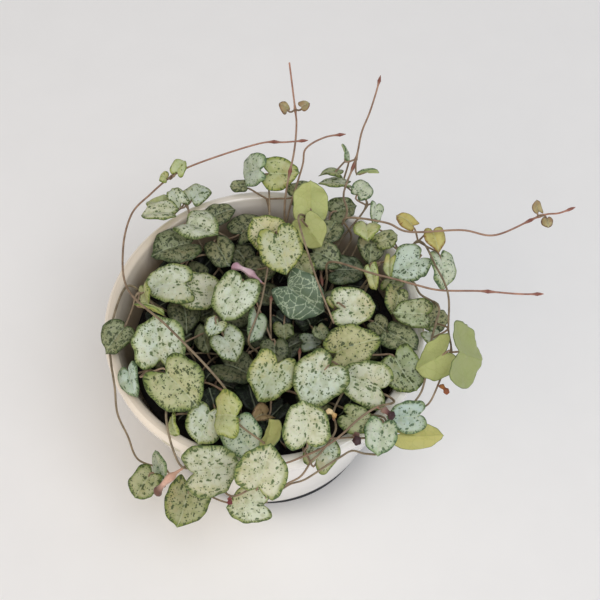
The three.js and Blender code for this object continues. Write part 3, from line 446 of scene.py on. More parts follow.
def bendClear(controls, free, radius, stem, target):  # moves free points most gently first
    chord = plant["stemChord"] if radius > plant["stalkRadius"] else plant["stalkChord"]
    best, cost = controls, crowding(smoothLine(controls, chord), radius, stem, target)
    for turn in range(clear["bendRounds"]):
        if cost <= clear["leastGain"]:
            break
        pick, ease = free[math.floor(draw() * len(free))]
        reach = ease * (1 + turn * clear["easeGrowth"])
        start = best[pick] if turn % 2 == 0 else controls[pick]
        move = np.array([draw() - 0.5, draw() - 0.5, draw() - 0.5])
        trial = list(best)
        trial[pick] = start + move * (2 * reach)
        trialCost = crowding(smoothLine(trial, chord), radius, stem, target)
        if trialCost < cost - clear["leastGain"]:
            best, cost = trial, trialCost
    return {"stem": stem, "radius": radius, "controls": best, "line": smoothLine(best, chord)}


def deepPaths():  # leaves deep in the pot, each tried at seeded places until it is clear
    rows, placed = [], []
    for _ in range(deep["attempts"]):
        if len(rows) == deep["leaves"]:
            break
        spot = spotWithin(deep["reach"], draw)
        lean = [deep["lean"] * (draw() - middle) for middle in deep["leanMiddle"]]
        row = (*spot, between(deep["lift"]), between(deep["width"]), 360 * draw(), *lean, "dark")
        blade = makeBlade(-1, row)
        if any(math.dist(other[:2], spot) < deep["spacing"] for other in rows):
            continue
        if bladePush(blade) is not None:
            continue
        if any(bladesMeet(blade, other) for other in grown["blades"] + placed):
            continue
        height, inside = heightsOver(stackBlades([blade]), crowd["points"],
                                     crowd["radii"] + clear["leafMargin"])
        if (inside & (abs(height) < clear["plate"] + crowd["radii"])).any():
            continue
        rows.append(row)
        placed.append(blade)
    rows.sort(key=lambda row: math.atan2(row[1], row[0]))
    paths = []
    for start in range(0, len(rows), deep["each"]):
        own = sorted(rows[start:start + deep["each"]], key=lambda row: math.hypot(row[0], row[1]))
        pairs = [pair for pair in (own[:2], own[2:]) if pair]
        paths.append((f"vine_deep_{len(paths) + 1}", pairs))
    return paths


def readPath(name, path):
    stem = {"name": name, "index": len(grown["stems"]), "nodes": []}
    for item in path:
        if isinstance(item, tuple):
            stem["nodes"].append({"point": overRim(item), "pair": []})
            continue
        pair = [makeBlade(stem["index"], row) for row in item]
        for blade in pair:
            blade["index"] = len(grown["blades"])
            grown["blades"].append(blade)
        stem["nodes"].append({"pair": pair})
    grown["stems"].append(stem)
    return stem


def setNodes(stem):  # the places that stalks run between, and the root under the first of them
    for node in stem["nodes"]:
        for blade in node["pair"]:
            blade["notch"] = blade["middle"] + bladeOffset(blade, 0, heartHalf[0][1])
            blade["sink"] = blade["notch"] + blade["along"] * plant["stalkSink"]
        if node["pair"]:
            middle = sum(blade["notch"] for blade in node["pair"]) / len(node["pair"])
            node["point"] = middle - towardsEye * plant["stalkDrop"]
    x, y = stem["nodes"][0]["point"][:2]
    away = max(1, math.hypot(x, y) / (soil["rootReach"] * soil["rootPull"]))
    stem["root"] = np.array([x, y]) / away * soil["rootPull"]


def spreadRoots(first):
    for _ in range(clear["spreadRounds"]):
        for stem in grown["stems"][first:]:
            for other in grown["stems"][:stem["index"]]:
                step = stem["root"] - other["root"]
                gap = math.hypot(*step)
                if gap < soil["rootSpacing"]:
                    push = step * ((soil["rootSpacing"] - gap) / 2 / max(gap, 0.1))
                    stem["root"] = stem["root"] + push
                    if other["index"] >= first:
                        other["root"] = other["root"] - push
            stem["root"] = stem["root"] / max(1, math.hypot(*stem["root"]) / soil["rootReach"])


def footLine(stem):
    foot = np.array([*stem["root"], soil["top"] + soil["footRise"]])
    return [foot, foot + np.array([0, 0, soil["footLength"]])]


def growStem(stem):  # a stem from its root through its nodes, and a stalk to each of its leaves
    controls, free = footLine(stem), []
    for index, node in enumerate(stem["nodes"]):
        last = controls[-1]
        onRoute = index > 0 and not (node["pair"] and stem["nodes"][index - 1]["pair"])
        if math.dist(last, node["point"]) > plant["longSpan"] and not onRoute:
            free.append((len(controls), 1))
            controls.append(last + (node["point"] - last) * 0.5)
        node["place"] = len(controls)
        free.append((len(controls), clear["nodeEase"] if node["pair"] else clear["routeEase"]))
        controls.append(node["point"])
    stem["tube"] = bendClear(controls, free, plant["stemRadius"], stem["index"], None)
    keepTube(stem["tube"])
    stem["stalks"] = []
    for node in stem["nodes"]:
        node["point"] = stem["tube"]["controls"][node["place"]]
        for blade in node["pair"]:
            behind = blade["notch"] - blade["along"] * plant["stalkBehind"]
            behind = behind - blade["up"] * plant["stalkBelow"]
            fromAhead = unit(node["point"] - behind) @ blade["along"] > plant["hairpin"]
            end = blade["sink"] if fromAhead else behind
            middle = end + (node["point"] - end) * 0.5
            stops, free = [middle, behind], [(1, 1), (2, clear["stalkEase"])]
            if fromAhead:
                stops, free = [middle], [(1, 1)]
            elif math.dist(behind, node["point"]) < plant["longStalk"]:
                stops, free = [behind], [(1, clear["shortStalkEase"])]
            stops = [node["point"], *stops, blade["sink"]]
            stalk = bendClear(stops, free, plant["stalkRadius"], stem["index"], blade)
            keepTube(stalk)
            stem["stalks"].append(stalk)


def growAll(paths):
    first = len(grown["stems"])
    fresh = [readPath(name, path) for name, path in paths]
    if first == 0:
        partBlades(grown["blades"])
    for stem in fresh:
        setNodes(stem)
    spreadRoots(first)
    crowd["stack"] = stackBlades(grown["blades"])
    for stem in fresh:
        keepTube({"stem": stem["index"], "radius": plant["stemRadius"],
                  "line": np.array(footLine(stem))})
    for stem in fresh:
        growStem(stem)


# Small dark leaves low over the soil, wherever one fits between the leaves and stems above it
under = {
    "leaves": 90, "attempts": 5000, "reach": 49, "lift": (-17, -3), "width": (7, 12.5),
    "lean": 0.9, "leanMiddle": (0.5, 0.65), "spacing": 6.5, "margin": 0.4, "seed": 41,
    "stalkRadius": 0.4, "stalkGap": 0.5, "footTries": 6, "footSpread": 7, "steps": 9, "bow": 2,
}


def underStalk(leaf, blades, draws):  # a bowed stalk from the leaf's notch down into the soil
    notch = leaf["middle"] + bladeOffset(leaf, 0, heartHalf[0][1])
    behind = notch - leaf["along"] * plant["stalkBehind"] - leaf["up"] * plant["stalkBelow"]
    share = np.linspace(0, 1, under["steps"])[:, None]
    for _ in range(under["footTries"]):
        foot = behind + np.array([*draws.uniform(-1, 1, 2) * under["footSpread"], 0])
        foot = foot / max(1, math.hypot(*foot[:2]) / soil["rootReach"])
        foot[2] = soil["top"] - soil["stalkDepth"]
        bow = np.array([*draws.uniform(-1, 1, 2) * under["bow"], 0])
        line = behind + (foot - behind) * share + bow * np.sin(math.pi * share)
        tested = line[line[:, 2] > soil["top"]]
        height, inside = heightsOver(blades, tested, under["stalkRadius"])
        room = plant["bladeRoom"] + under["stalkRadius"]
        gap = np.linalg.norm(tested[:, None] - crowd["points"][None], axis=2) - crowd["radii"]
        if not (inside & (abs(height) < room)).any() and gap.min() > under["stalkGap"]:
            return np.vstack([notch + leaf["along"] * plant["stalkSink"], line])
    return None


def underLeaves():
    draws = np.random.default_rng(under["seed"])
    leaves, stalks = [], []
    every = list(grown["blades"])
    for _ in range(under["attempts"]):
        if len(leaves) == under["leaves"]:
            break
        spot = spotWithin(under["reach"], draws.random)
        lean = under["lean"] * (draws.random(2) - under["leanMiddle"])
        row = (*spot, draws.uniform(*under["lift"]), draws.uniform(*under["width"]),
               360 * draws.random(), *lean, "shade")
        if any(math.dist(leaf["middle"][:2], row[:2]) < under["spacing"] for leaf in leaves):
            continue
        leaf = makeBlade(-1, row)
        if bladePush(leaf) is not None or any(bladesMeet(leaf, other) for other in every):
            continue
        height, inside = heightsOver(stackBlades([leaf]), crowd["points"],
                                     crowd["radii"] + under["margin"])
        if (inside & (abs(height) < plant["bladeRoom"] + crowd["radii"])).any():
            continue
        stalk = underStalk(leaf, stackBlades(every), draws)
        if stalk is None:
            continue
        leaf["index"] = len(every)
        every.append(leaf)
        leaves.append(leaf)
        stalks.append(stalk)
    return leaves, stalks


# Bare young shoots that rise from the soil and lean over in the gaps between the leaves
shoots = {
    "count": 14, "attempts": 1500, "reach": 44, "span": (16, 40), "rise": (14, 27), "lean": 1.5,
    "seed": 77, "radius": 0.5, "chord": 1.4, "leafGap": 0.9, "stemGap": 0.35, "wallGap": 1.5,
    "steps": 9, "arc": 1.9, "bow": (-0.5, 0.5), "bareFrom": 0.5,
}


def bareShoots():
    draws = np.random.default_rng(shoots["seed"])
    blades, lines = stackBlades(list(grown["blades"]) + lowLeaves), []
    taken, radii = crowd["points"], crowd["radii"]
    for stalk in lowStalks:
        taken = np.vstack([taken, stalk])
        radii = np.concatenate([radii, np.full(len(stalk), under["stalkRadius"])])
    for _ in range(shoots["attempts"]):
        if len(lines) == shoots["count"]:
            break
        spot = spotWithin(shoots["reach"], draws.random)
        foot = np.array([*spot, soil["top"] - soil["stalkDepth"]])
        heading, bow = 2 * math.pi * draws.random(), draws.uniform(*shoots["bow"])
        ahead = np.array([math.cos(heading), math.sin(heading), 0])
        aside = np.array([-ahead[1], ahead[0], 0])
        share = np.linspace(0, 1, shoots["steps"])[:, None]
        level = ahead * share ** shoots["lean"] + aside * bow * share ** 2
        line = foot + level * draws.uniform(*shoots["span"])
        line[:, 2] += draws.uniform(*shoots["rise"]) * np.sin(shoots["arc"] * share[:, 0])
        line = smoothLine(line, shoots["chord"])
        tested = line[line[:, 2] > soil["top"] + shoots["bareFrom"]]
        height, inside = heightsOver(blades, tested, shoots["radius"])
        if (inside & (abs(height) < shoots["leafGap"] + shoots["radius"])).any():
            continue
        gaps = np.linalg.norm(tested[:, None] - taken[None], axis=2) - radii - shoots["radius"]
        walls = [innerRadius(z) - math.hypot(x, y) for x, y, z in tested]
        if gaps.min() < shoots["stemGap"] or min(walls) < shoots["wallGap"]:
            continue
        lines.append(line)
        taken = np.vstack([taken, line])
        radii = np.concatenate([radii, np.full(len(line), shoots["radius"])])
    return lines


growAll(stemPaths)
growAll(deepPaths())
print("layout grown:", len(grown["stems"]), "stems,", len(grown["blades"]), "leaves")
lowLeaves, lowStalks = underLeaves()
print("small leaves fitted between them:", len(lowLeaves))
shootLines = bareShoots()
print("bare shoots between them:", len(shootLines))

# Camera where the photograph was taken from: front, 58 degrees above level
view = {
    "lookAt": (14.5, 9.0, 88), "distance": 537, "elevation": 58.4, "focal": 1300,
    "imageWidth": 600, "sensor": 36, "clip": (0.01, 20),
}


def addObject(name, data):  # an object in the scene that shows this data
    obj = bpy.data.objects.new(name, data)
    bpy.context.scene.collection.objects.link(obj)
    return obj


def makeCamera():
    data = bpy.data.cameras.new("viewCamera")
    camera = addObject("viewCamera", data)
    tilt = math.radians(view["elevation"])
    back = np.array([0, -math.cos(tilt), math.sin(tilt)]) * view["distance"]
    camera.location = (np.array(view["lookAt"]) + back) * metre
    camera.rotation_euler = (math.pi / 2 - tilt, 0, 0)
    data.sensor_width = view["sensor"]
    data.lens = view["focal"] / view["imageWidth"] * view["sensor"]
    data.clip_start, data.clip_end = view["clip"]
    bpy.context.scene.camera = camera


makeCamera()

# The setting that the second word of a node's kind gives, where it isn't the operation
modes = {"Mix": "data_type", "MapRange": "interpolation_type"}


def addNode(tree, kind, inputs=(), **settings):  # a node with its settings, values and links
    kind, *mode = kind.split()
    node = tree.nodes.new(kind if "Node" in kind else "ShaderNode" + kind)
    if mode:
        settings[modes.get(kind, "operation")] = mode[0]
    for key, value in settings.items():
        setattr(node, key, value)
    return fillInputs(node, inputs)


def fillInputs(node, inputs):  # by name, or in the order of the sockets that the node shows
    if not isinstance(inputs, dict):
        shown = [index for index, socket in enumerate(node.inputs) if socket.enabled]
        inputs = dict(zip(shown, inputs))
    for key, value in inputs.items():
        if isinstance(value, bpy.types.Node):
            value = next(socket for socket in value.outputs if socket.enabled)
        if isinstance(value, bpy.types.NodeSocket):
            node.id_data.links.new(value, node.inputs[key])
            continue
        isColour = isinstance(value, str) and value.startswith("#")
        node.inputs[key].default_value = linear(value) if isColour else value
    return node


def linear(code):  # an sRGB hex colour as Blender's linear one
    parts = [int(code[i:i + 2], 16) / 255 for i in (1, 3, 5)]
    return (*[p / 12.92 if p <= 0.04045 else ((p + 0.055) / 1.055) ** 2.4 for p in parts], 1)


def newMaterial(name):  # a material, its one shader, a way to add nodes, and the place on the object
    material = bpy.data.materials.new(name)
    material.use_nodes = True
    add = partial(addNode, material.node_tree)
    return material, material.node_tree.nodes["Principled BSDF"], add


def scaled(pattern):  # a pattern's size in millimetres as a texture's scale, then its other numbers
    return (1 / (pattern[0] * metre), *pattern[1:])


def setStops(ramp, stops):  # a ramp's colours, each at its place
    elements = ramp.color_ramp.elements
    for place, code in stops[1:-1]:
        elements.new(place)
    for element, (place, code) in zip(elements, stops):
        element.position, element.color = place, linear(code)


def coat(shader, colour, height, row):  # the colour, the relief and the fixed values of a material
    strength, deepMm = row["relief"]
    bump = addNode(shader.id_data, "Bump", {
        "Height": height, "Strength": strength, "Distance": deepMm * metre})
    fillInputs(shader, {"Base Color": colour, "Normal": bump, **row["shader"]})


# Glazed stoneware: fired glass over clay, so a wet gloss over a colour that thins at the edges.
# Clouds, specks and ripples are sizes in millimetres, then a noise's detail and roughness
glaze = {
    "body": "#efe3d0", "thin": "#c2ab89", "deep": "#fbf9f5", "speck": "#8d7654",
    "paintedReflectionGrey": "#b4b1ad", "innerShade": "#9c8464", "clouds": (38, 4, 0.55), "cloudShare": 0.3,
    "specks": (2.2,), "speckSpan": (0.05, 0.11, 0.12, 0), "edgeSpan": (0.51, 0.58),
    "reflectionBandMm": 2.5, "reflectionBandMost": 0.75, "litSideFromMm": -50, "litSideToMm": 15, "litSideMost": 0.85,
    "taper": (20, 60), "innerShadeRaggedMm": 12, "innerShadeFromMm": 80, "innerShadeToMm": 90, "innerShadeSpan": (0.85, 0.25),
    "ripples": (9, 2), "relief": (0.1, 0.4),
    "shader": {"Roughness": 0.16, "IOR": 1.5, "Coat Weight": 0.4, "Coat Roughness": 0.06},
}


def makeGlaze():
    material, shader, add = newMaterial("glazedStoneware")
    place = add("TexCoord").outputs["Object"]
    clouds = add("TexNoise", (place, *scaled(glaze["clouds"])))
    # painted light: the glaze is painted whiter towards +x, the side the light falls on, and random clouds
    # make it whiter in places
    x, y, z = add("SeparateXYZ", [place]).outputs
    paintedLitSide = add("MapRange SMOOTHSTEP", (
        x, glaze["litSideFromMm"] * metre, glaze["litSideToMm"] * metre, 0, glaze["litSideMost"]))
    depth = add("Math MULTIPLY_ADD", (clouds, glaze["cloudShare"], paintedLitSide))
    tint = add("Mix RGBA", (depth, glaze["body"], glaze["deep"]))
    pointy = add("MapRange", (add("NewGeometry").outputs["Pointiness"], *glaze["edgeSpan"]))
    thin = add("Mix RGBA", (pointy, tint, glaze["thin"]))
    specks = add("TexVoronoi", (place, *scaled(glaze["specks"])))
    dots = add("MapRange", (specks, *glaze["speckSpan"]))
    speckled = add("Mix RGBA", (dots, thin, glaze["speck"]))
    # painted reflection: a grey band just above the dark band at the foot
    heading = add("Math ARCTAN2", (y, x))
    turned = add("Math SUBTRACT", (heading, math.radians(darkFoot["heading"])))
    off = add("Math ABSOLUTE", [turned])
    dip = add("MapRange SMOOTHSTEP", (
        off, 0, math.radians(darkFoot["reach"]), (darkFoot["high"] + darkFoot["bulge"]) * metre,
        darkFoot["high"] * metre))
    above = add("Math SUBTRACT", (z, dip))
    close = add("MapRange SMOOTHSTEP", (above, 0, glaze["reflectionBandMm"] * metre, glaze["reflectionBandMost"], 0))
    withReflection = add("Mix RGBA", (close, speckled, glaze["paintedReflectionGrey"]))
    # painted shade: inside, the wall is painted browner below the rim, most strongly lower down, with a
    # ragged edge from noise
    away = add("VectorMath LENGTH", [add("VectorMath MULTIPLY", (place, (1, 1, 0)))])
    lower, upper = glaze["taper"]
    slope = (outerAt(upper) - outerAt(lower)) / (upper - lower)
    wall = add("Math MULTIPLY_ADD", (z, slope, (outerAt(0) - pot["wall"] / 2) * metre))
    inner = add("Math LESS_THAN", (away, wall))
    innerShadeEdge = add("Math MULTIPLY_ADD", (clouds, glaze["innerShadeRaggedMm"] * metre, z))
    low = add("MapRange SMOOTHSTEP", (
        innerShadeEdge, glaze["innerShadeFromMm"] * metre, glaze["innerShadeToMm"] * metre, *glaze["innerShadeSpan"]))
    paintedInnerShade = add("Math MULTIPLY", (low, inner))
    innerShaded = add("Mix RGBA", (paintedInnerShade, withReflection, glaze["innerShade"]))
    coat(shader, innerShaded, add("TexNoise", (place, *scaled(glaze["ripples"]))), glaze)
    return material


# Dark foot: a dark, gritty, dead matt band round the foot of the pot, that reaches highest on one side
darkFoot = {
    "high": 2.5, "bulge": 11, "heading": -38, "reach": 85, "fade": 44, "light": "#3a3c40",
    "dark": "#26282c", "grit": (0.9, 5, 0.65), "relief": (0.4, 0.2),
    "shader": {"Roughness": 0.92, "Specular IOR Level": 0.12},
}


def darkFootTop(angle):  # how high the dark foot band reaches at a heading round the pot
    turn = math.remainder(angle - math.radians(darkFoot["heading"]), 2 * math.pi)
    share = max(0, 1 - abs(turn) / math.radians(darkFoot["reach"]))
    return darkFoot["high"] + darkFoot["bulge"] * share * share * (3 - 2 * share)


def makeDarkFoot():
    material, shader, add = newMaterial("bareClay")
    grit = add("TexNoise", (add("TexCoord").outputs["Object"], *scaled(darkFoot["grit"])))
    coat(shader, add("Mix RGBA", (grit, darkFoot["dark"], darkFoot["light"])), grit, darkFoot)
    return material


# Potting mix: damp peat and bark crumbs, nearly black and matt with a little damp shine
mix = {
    "stops": ((0.42, "#0b0908"), (0.68, "#261b15"), (0.8, "#57493d")), "clods": (5, 8, 0.7),
    "relief": (0.8, 0.8), "shader": {"Roughness": 0.88},
}


def makePottingMix():
    material, shader, add = newMaterial("pottingMix")
    clods = add("TexNoise", (add("TexCoord").outputs["Object"], *scaled(mix["clods"])))
    ramp = add("ValToRGB", [clods])
    setStops(ramp, mix["stops"])
    coat(shader, ramp, clods, mix)
    return material


# Vine skin: a thin dry bark, olive brown where it is old and pinker towards the growing tip,
# so matt that it shows only a dull sheen
vine = {
    "old": "#92846a", "oldDark": "#6b5f49", "young": "#c18c76", "youngDark": "#99685a",
    "bud": "#7f463a", "streaks": (3.5, 4, 0.6), "streakSpan": (0.35, 0.65), "relief": (0.5, 0.2),
    "shader": {"Roughness": 0.6},
}


def makeVineSkin():
    material, shader, add = newMaterial("vineSkin")
    age = add("Attribute", attribute_name="vineAge").outputs["Fac"]
    bud = add("Attribute", attribute_name="vineBud").outputs["Fac"]
    streaks = add("TexNoise", (add("TexCoord").outputs["Object"], *scaled(vine["streaks"])))
    shade = add("MapRange", (streaks, *vine["streakSpan"]))
    old = add("Mix RGBA", (shade, vine["oldDark"], vine["old"]))
    young = add("Mix RGBA", (shade, vine["youngDark"], vine["young"]))
    budded = add("Mix RGBA", (bud, add("Mix RGBA", (age, old, young)), vine["bud"]))
    coat(shader, budded, streaks, vine)
    return material


# Fleshy leaf: a waxy skin over soft flesh, so a satin sheen and a little light let through.
# Each tone: silver, warm side, margin, dark marks, underside, then how much of the leaf is
# dashes, dark blotches and pale net
leafTones = {
    "silver": ("#c2cab6", "#bab590", "#8d9755", "#465a2e", "#b5b874", 1.2, 0.1, 0.0),
    "mint": ("#c0cab7", "#bbc2a2", "#889b69", "#465e40", "#b2c084", 1.15, 0.1, 0.0),
    "young": ("#bcc190", "#b8b173", "#96a04b", "#627236", "#b6ba6c", 0.85, 0.05, 0.0),
    "lemon": ("#c4c8a8", "#c0ba82", "#949a4c", "#4b602e", "#b6ba6c", 1.25, 0.12, 0.0),
    "amber": ("#b9b672", "#b8a962", "#a48f4a", "#86603a", "#b5a658", 0.3, 0.0, 0.0),
    "tiny": ("#a99c72", "#a28262", "#8f7450", "#6d4636", "#a0845e", 0.3, 0.0, 0.0),
    "olive": ("#abae86", "#a59d70", "#73823e", "#3b4926", "#9aa65a", 1.25, 0.28, 0.0),
    "dark": ("#979b75", "#8e8561", "#586738", "#313e24", "#7b8852", 1.2, 0.44, 0.5),
    "net": ("#bac9ac", "#afbf9e", "#6a7f62", "#5e7258", "#83946b", 0.2, 0.9, 1.0),
    "underside": ("#bdc8b0", "#b9b38b", "#8c9e55", "#4a5d33", "#b4b674", 0.9, 0.1, 0.0),
    "withered": ("#b39b72", "#a08660", "#7c6644", "#55432d", "#a58d66", 0.8, 0.3, 0.0),
    # shade: painted shade, the dark tone of the small leaves low over the soil, where little light reaches
    "shade": ("#54634b", "#4c533a", "#2a3a26", "#10190f", "#47542f", 1.0, 0.7, 0.6),
}
# Marks are sizes in millimetres. Wobble and mottle are a noise's scale, detail and roughness,
# and cluster and blotches only its detail and roughness
leafSkin = {
    "vein": "#c9d3b4", "backVein": "#8b964b", "dashMm": 1.3, "fleckMm": 0.7, "spokeMm": 0.8,
    "blotchMm": 1.3, "veinMm": 1.5, "clusterMm": 2.6, "wobble": (1.4, 2), "mottle": (0.3, 3, 0.6),
    "wander": 0.8, "ragged": 0.22, "fan": (7, 7, 0), "stray": (1.6, 1.6, 0.6), "spokeDeep": 0.42,
    "dashStretch": (1, 0.58, 1), "fleckStretch": (0.7, 1, 1), "backLines": 0.25, "sunk": -0.35,
    "relief": (0.45, 0.25), "seed": 5, "jitter": 0.08, "warmJitter": 0.04, "shadeHigh": 93,
    "shadeLow": 76, "shadeWithin": 57, "shadeMost": 0.19, "cluster": (1,), "blotches": (3, 0.55),
    "shader": {"Roughness": 0.45, "Specular IOR Level": 0.28, "Subsurface Weight": 0.12,
               "Subsurface Radius": (0.0010, 0.0016, 0.0005), "Subsurface Scale": 1},
}
# From where to where each mask rises, and between which values
masks = {
    "warm": (0.35, 1.15), "margin": (0.84, 1.07, 0, 0.92), "halo": (0.42, 0.62, 0, 0.34),
    "vein": (0.01, 0.08, 0.85, 0), "blotchLevel": (0, 1, 0.82, 0.2),
    "blotch": (-0.02, 0.05, 0, 0.9), "spokeLevel": (0.74, 0.96, 0.72, 0.49),
    "spoke": (0, 0.05, 0, 0.85), "gathered": (0.38, 0.6, 0.24, 0.44), "chance": (0.2, 0.9),
    "spot": (-0.02, 0.07, 0, 0.88), "rib": (0.03, 0.5, 0.26, 0), "top": (-0.15, 0.15),
    "edge": (0.94, 0.99, 0, 0.62),
}


def makeLeafSkin():
    material, shader, add = newMaterial("fleshyLeaf")
    reads = {"Vector": ("leafPlace", "leafPattern", "leafSlant"),
             "Color": ("leafSilver", "leafWarm", "leafMargin", "leafDark", "leafBack"),
             "Fac": ("heartRim", "heartFace", "leafWidth", "leafLength")}
    (place, parts, slantTo, silver, warm, margin, dark, plain, rim, face, width, length) = (
        add("Attribute", attribute_name=name).outputs[out]
        for out, names in reads.items() for name in names)
    dashShare, blotchShare, netShare = add("SeparateXYZ", [parts]).outputs
    across, _, seedOnly = add("SeparateXYZ", [place]).outputs
    # every pattern wanders a little, so no mark is quite round or straight
    wobble = add("TexNoise", (place, *leafSkin["wobble"])).outputs["Color"]
    wander = (leafSkin["wander"], leafSkin["wander"], 0)
    shifted = add("VectorMath MULTIPLY_ADD", (wobble, wander, place))
    # one side of a leaf is warmer and tanner than the other
    flat = add("VectorMath MULTIPLY", (place, (1, 1, 0)))
    slant = add("VectorMath DOT_PRODUCT", (flat, slantTo))
    mottle = add("TexNoise", (place, *leafSkin["mottle"]))
    warmth = add("MapRange SMOOTHSTEP", (add("Math ADD", (slant, mottle)), *masks["warm"]))
    skin = add("Mix RGBA", (warmth, silver, warm))
    # a greener band along the margin, with a ragged inner edge, and a green halo round the marks
    ragged = add("Math MULTIPLY_ADD", (mottle, leafSkin["ragged"], rim))
    band = add("MapRange SMOOTHSTEP", (ragged, *masks["margin"]))
    cluster = add("TexNoise", (place, 1 / leafSkin["clusterMm"], *leafSkin["cluster"]))
    halo = add("MapRange SMOOTHSTEP", (cluster, *masks["halo"]))
    banded = add("Mix RGBA", (add("Math MAXIMUM", (band, halo)), skin, margin))
    # veins fan out from the notch, faint on silver leaves and clear on the netted one
    notch = add("Math MULTIPLY", (length, heart["notchShare"] / metre))
    spread = add("VectorMath ADD", (flat, add("CombineXYZ", {"Y": notch})))
    fan = add("VectorMath NORMALIZE", [spread])
    farther = add("CombineXYZ", {"Z": add("VectorMath LENGTH", [spread])})
    fanned = add("VectorMath MULTIPLY_ADD", (fan, leafSkin["fan"], farther))
    strayed = add("VectorMath MULTIPLY_ADD", (wobble, leafSkin["stray"], fanned))
    net = add("TexVoronoi", (strayed, 1 / leafSkin["veinMm"] / 2), feature="DISTANCE_TO_EDGE")
    lines = add("MapRange SMOOTHSTEP", (net, *masks["vein"]))
    # dark blotches leave a pale net between them
    blotches = add("TexNoise", (shifted, 1 / leafSkin["blotchMm"], *leafSkin["blotches"]))
    level = add("MapRange", (blotchShare, *masks["blotchLevel"]))
    over = add("Math SUBTRACT", (blotches, level))
    blotchMask = add("MapRange SMOOTHSTEP", (over, *masks["blotch"]))
    # spokes: dashes that point outwards along the margin
    half = add("Math MULTIPLY", (width, 0.5 / metre))
    around = add("VectorMath SCALE", (add("VectorMath NORMALIZE", [flat]), half))
    deepIn = add("Math MULTIPLY_ADD", (
        add("Math MULTIPLY", (rim, half)), leafSkin["spokeDeep"], seedOnly))
    spokeAt = add("VectorMath ADD", (around, add("CombineXYZ", {"Z": deepIn})))
    spokes = add("TexNoise", (spokeAt, 1 / leafSkin["spokeMm"], *leafSkin["cluster"]))
    spokeLevel = add("MapRange", (rim, *masks["spokeLevel"]))
    spokeOver = add("Math SUBTRACT", (spokes, spokeLevel))
    spokeMask = add("MapRange SMOOTHSTEP", (spokeOver, *masks["spoke"]))
    # dashes and finer flecks in the middle keep together in clusters
    gathered = add("MapRange", (cluster, *masks["gathered"]))
    marks = add("Math MAXIMUM", (spokeMask, blotchMask))
    for mark in ("dash", "fleck"):
        stretched = add("VectorMath MULTIPLY", (shifted, leafSkin[mark + "Stretch"]))
        spots = add("TexVoronoi", (stretched, 1 / leafSkin[mark + "Mm"]))
        chance = add("SeparateColor", [spots.outputs["Color"]])
        picked = add("MapRange", (chance, *masks["chance"]))
        some = add("Math MULTIPLY", (add("Math MULTIPLY", (picked, gathered)), dashShare))
        within = add("Math SUBTRACT", (some, spots))
        marks = add("Math MAXIMUM", (marks, add("MapRange SMOOTHSTEP", (within, *masks["spot"]))))
    marked = add("Mix RGBA", (marks, banded, dark))
    netted = add("Mix RGBA", (add("Math MULTIPLY", (lines, netShare)), marked, silver))
    # the rib is a soft pale line that fades towards the sides
    ribMask = add("MapRange SMOOTHSTEP", (add("Math ABSOLUTE", [across]), *masks["rib"]))
    ribbed = add("Mix RGBA", (ribMask, netted, leafSkin["vein"]))
    # the underside is plain, with its veins a little darker
    backLines = add("Math MULTIPLY", (lines, leafSkin["backLines"]))
    backVeins = add("Math MAXIMUM", (ribMask, backLines))
    back = add("Mix RGBA", (backVeins, plain, leafSkin["backVein"]))
    sided = add("Mix RGBA", (add("MapRange", (face, *masks["top"])), back, ribbed))
    edged = add("Mix RGBA", (add("MapRange SMOOTHSTEP", (rim, *masks["edge"])), sided, dark))
    # marks lie a little sunk, and the flesh swells between the veins
    coat(shader, edged, add("Math MULTIPLY_ADD", (marks, leafSkin["sunk"], net)), leafSkin)
    return material


# Waxy petals: thin flesh, pink to maroon, paler at the neck. Colours of foot, neck and mouth
petalTones = {
    "bloom_lilac": ("#b7929d", "#dcc3c9", "#b9909f"),
    "bloom_salmon": ("#c79c84", "#d9b09c", "#6d4a3c"),
    "bloom_maroon_east": ("#a08a78", "#7a5450", "#3a1e22"),
    "bloom_maroon_front": ("#a08a78", "#7a5450", "#3a1e22"),
    "bloom_dried": ("#8a5a38", "#b0723c", "#8a4b26"),
    "bloom_star": ("#c9975c", "#e3bb7e", "#f0d3a0"),
    "bloom_bud": ("#8c6a5a", "#8e4440", "#6f2a2e"),
}
# Where those colours sit along it, and veins a little over a millimetre apart
petalSkin = {
    "places": (0.3, 0.62, 0.85), "veins": (900, 3), "shade": (0, 1, 0.75, 1.15),
    "roughness": 0.55,
}


def makePetal(name):
    material, shader, add = newMaterial("waxyPetal_" + name)
    ramp = add("ValToRGB", [add("Attribute", attribute_name="petalAlong").outputs["Fac"]])
    setStops(ramp, list(zip(petalSkin["places"], petalTones[name])))
    veins = add("TexNoise", (add("TexCoord").outputs["Object"], *petalSkin["veins"]))
    tinted = add("VectorMath SCALE", (ramp, add("MapRange", (veins, *petalSkin["shade"]))))
    fillInputs(shader, {"Base Color": tinted, "Roughness": petalSkin["roughness"]})
    return material


materials = {
    "glaze": makeGlaze(), "darkFoot": makeDarkFoot(), "soil": makePottingMix(),
    "vine": makeVineSkin(), "leaf": makeLeafSkin(),
}
print("materials made")


def newObject(name, vertices, faces, edges=(), unit=metre):  # a mesh object from its places
    mesh = bpy.data.meshes.new(name)
    mesh.from_pydata([tuple(v) for v in np.asarray(vertices, float) * unit], list(edges), faces)
    mesh.update()
    return addObject(name, mesh)


def setAttributes(obj, rows):  # one value for each vertex, in fields named by their kind
    for kind, fields in rows.items():
        for name, values in fields.items():
            attribute = obj.data.attributes.new(name, kind, "POINT")
            field = {"FLOAT": "value", "FLOAT_VECTOR": "vector", "FLOAT_COLOR": "color"}[kind]
            attribute.data.foreach_set(field, np.asarray(values, np.float32).ravel())


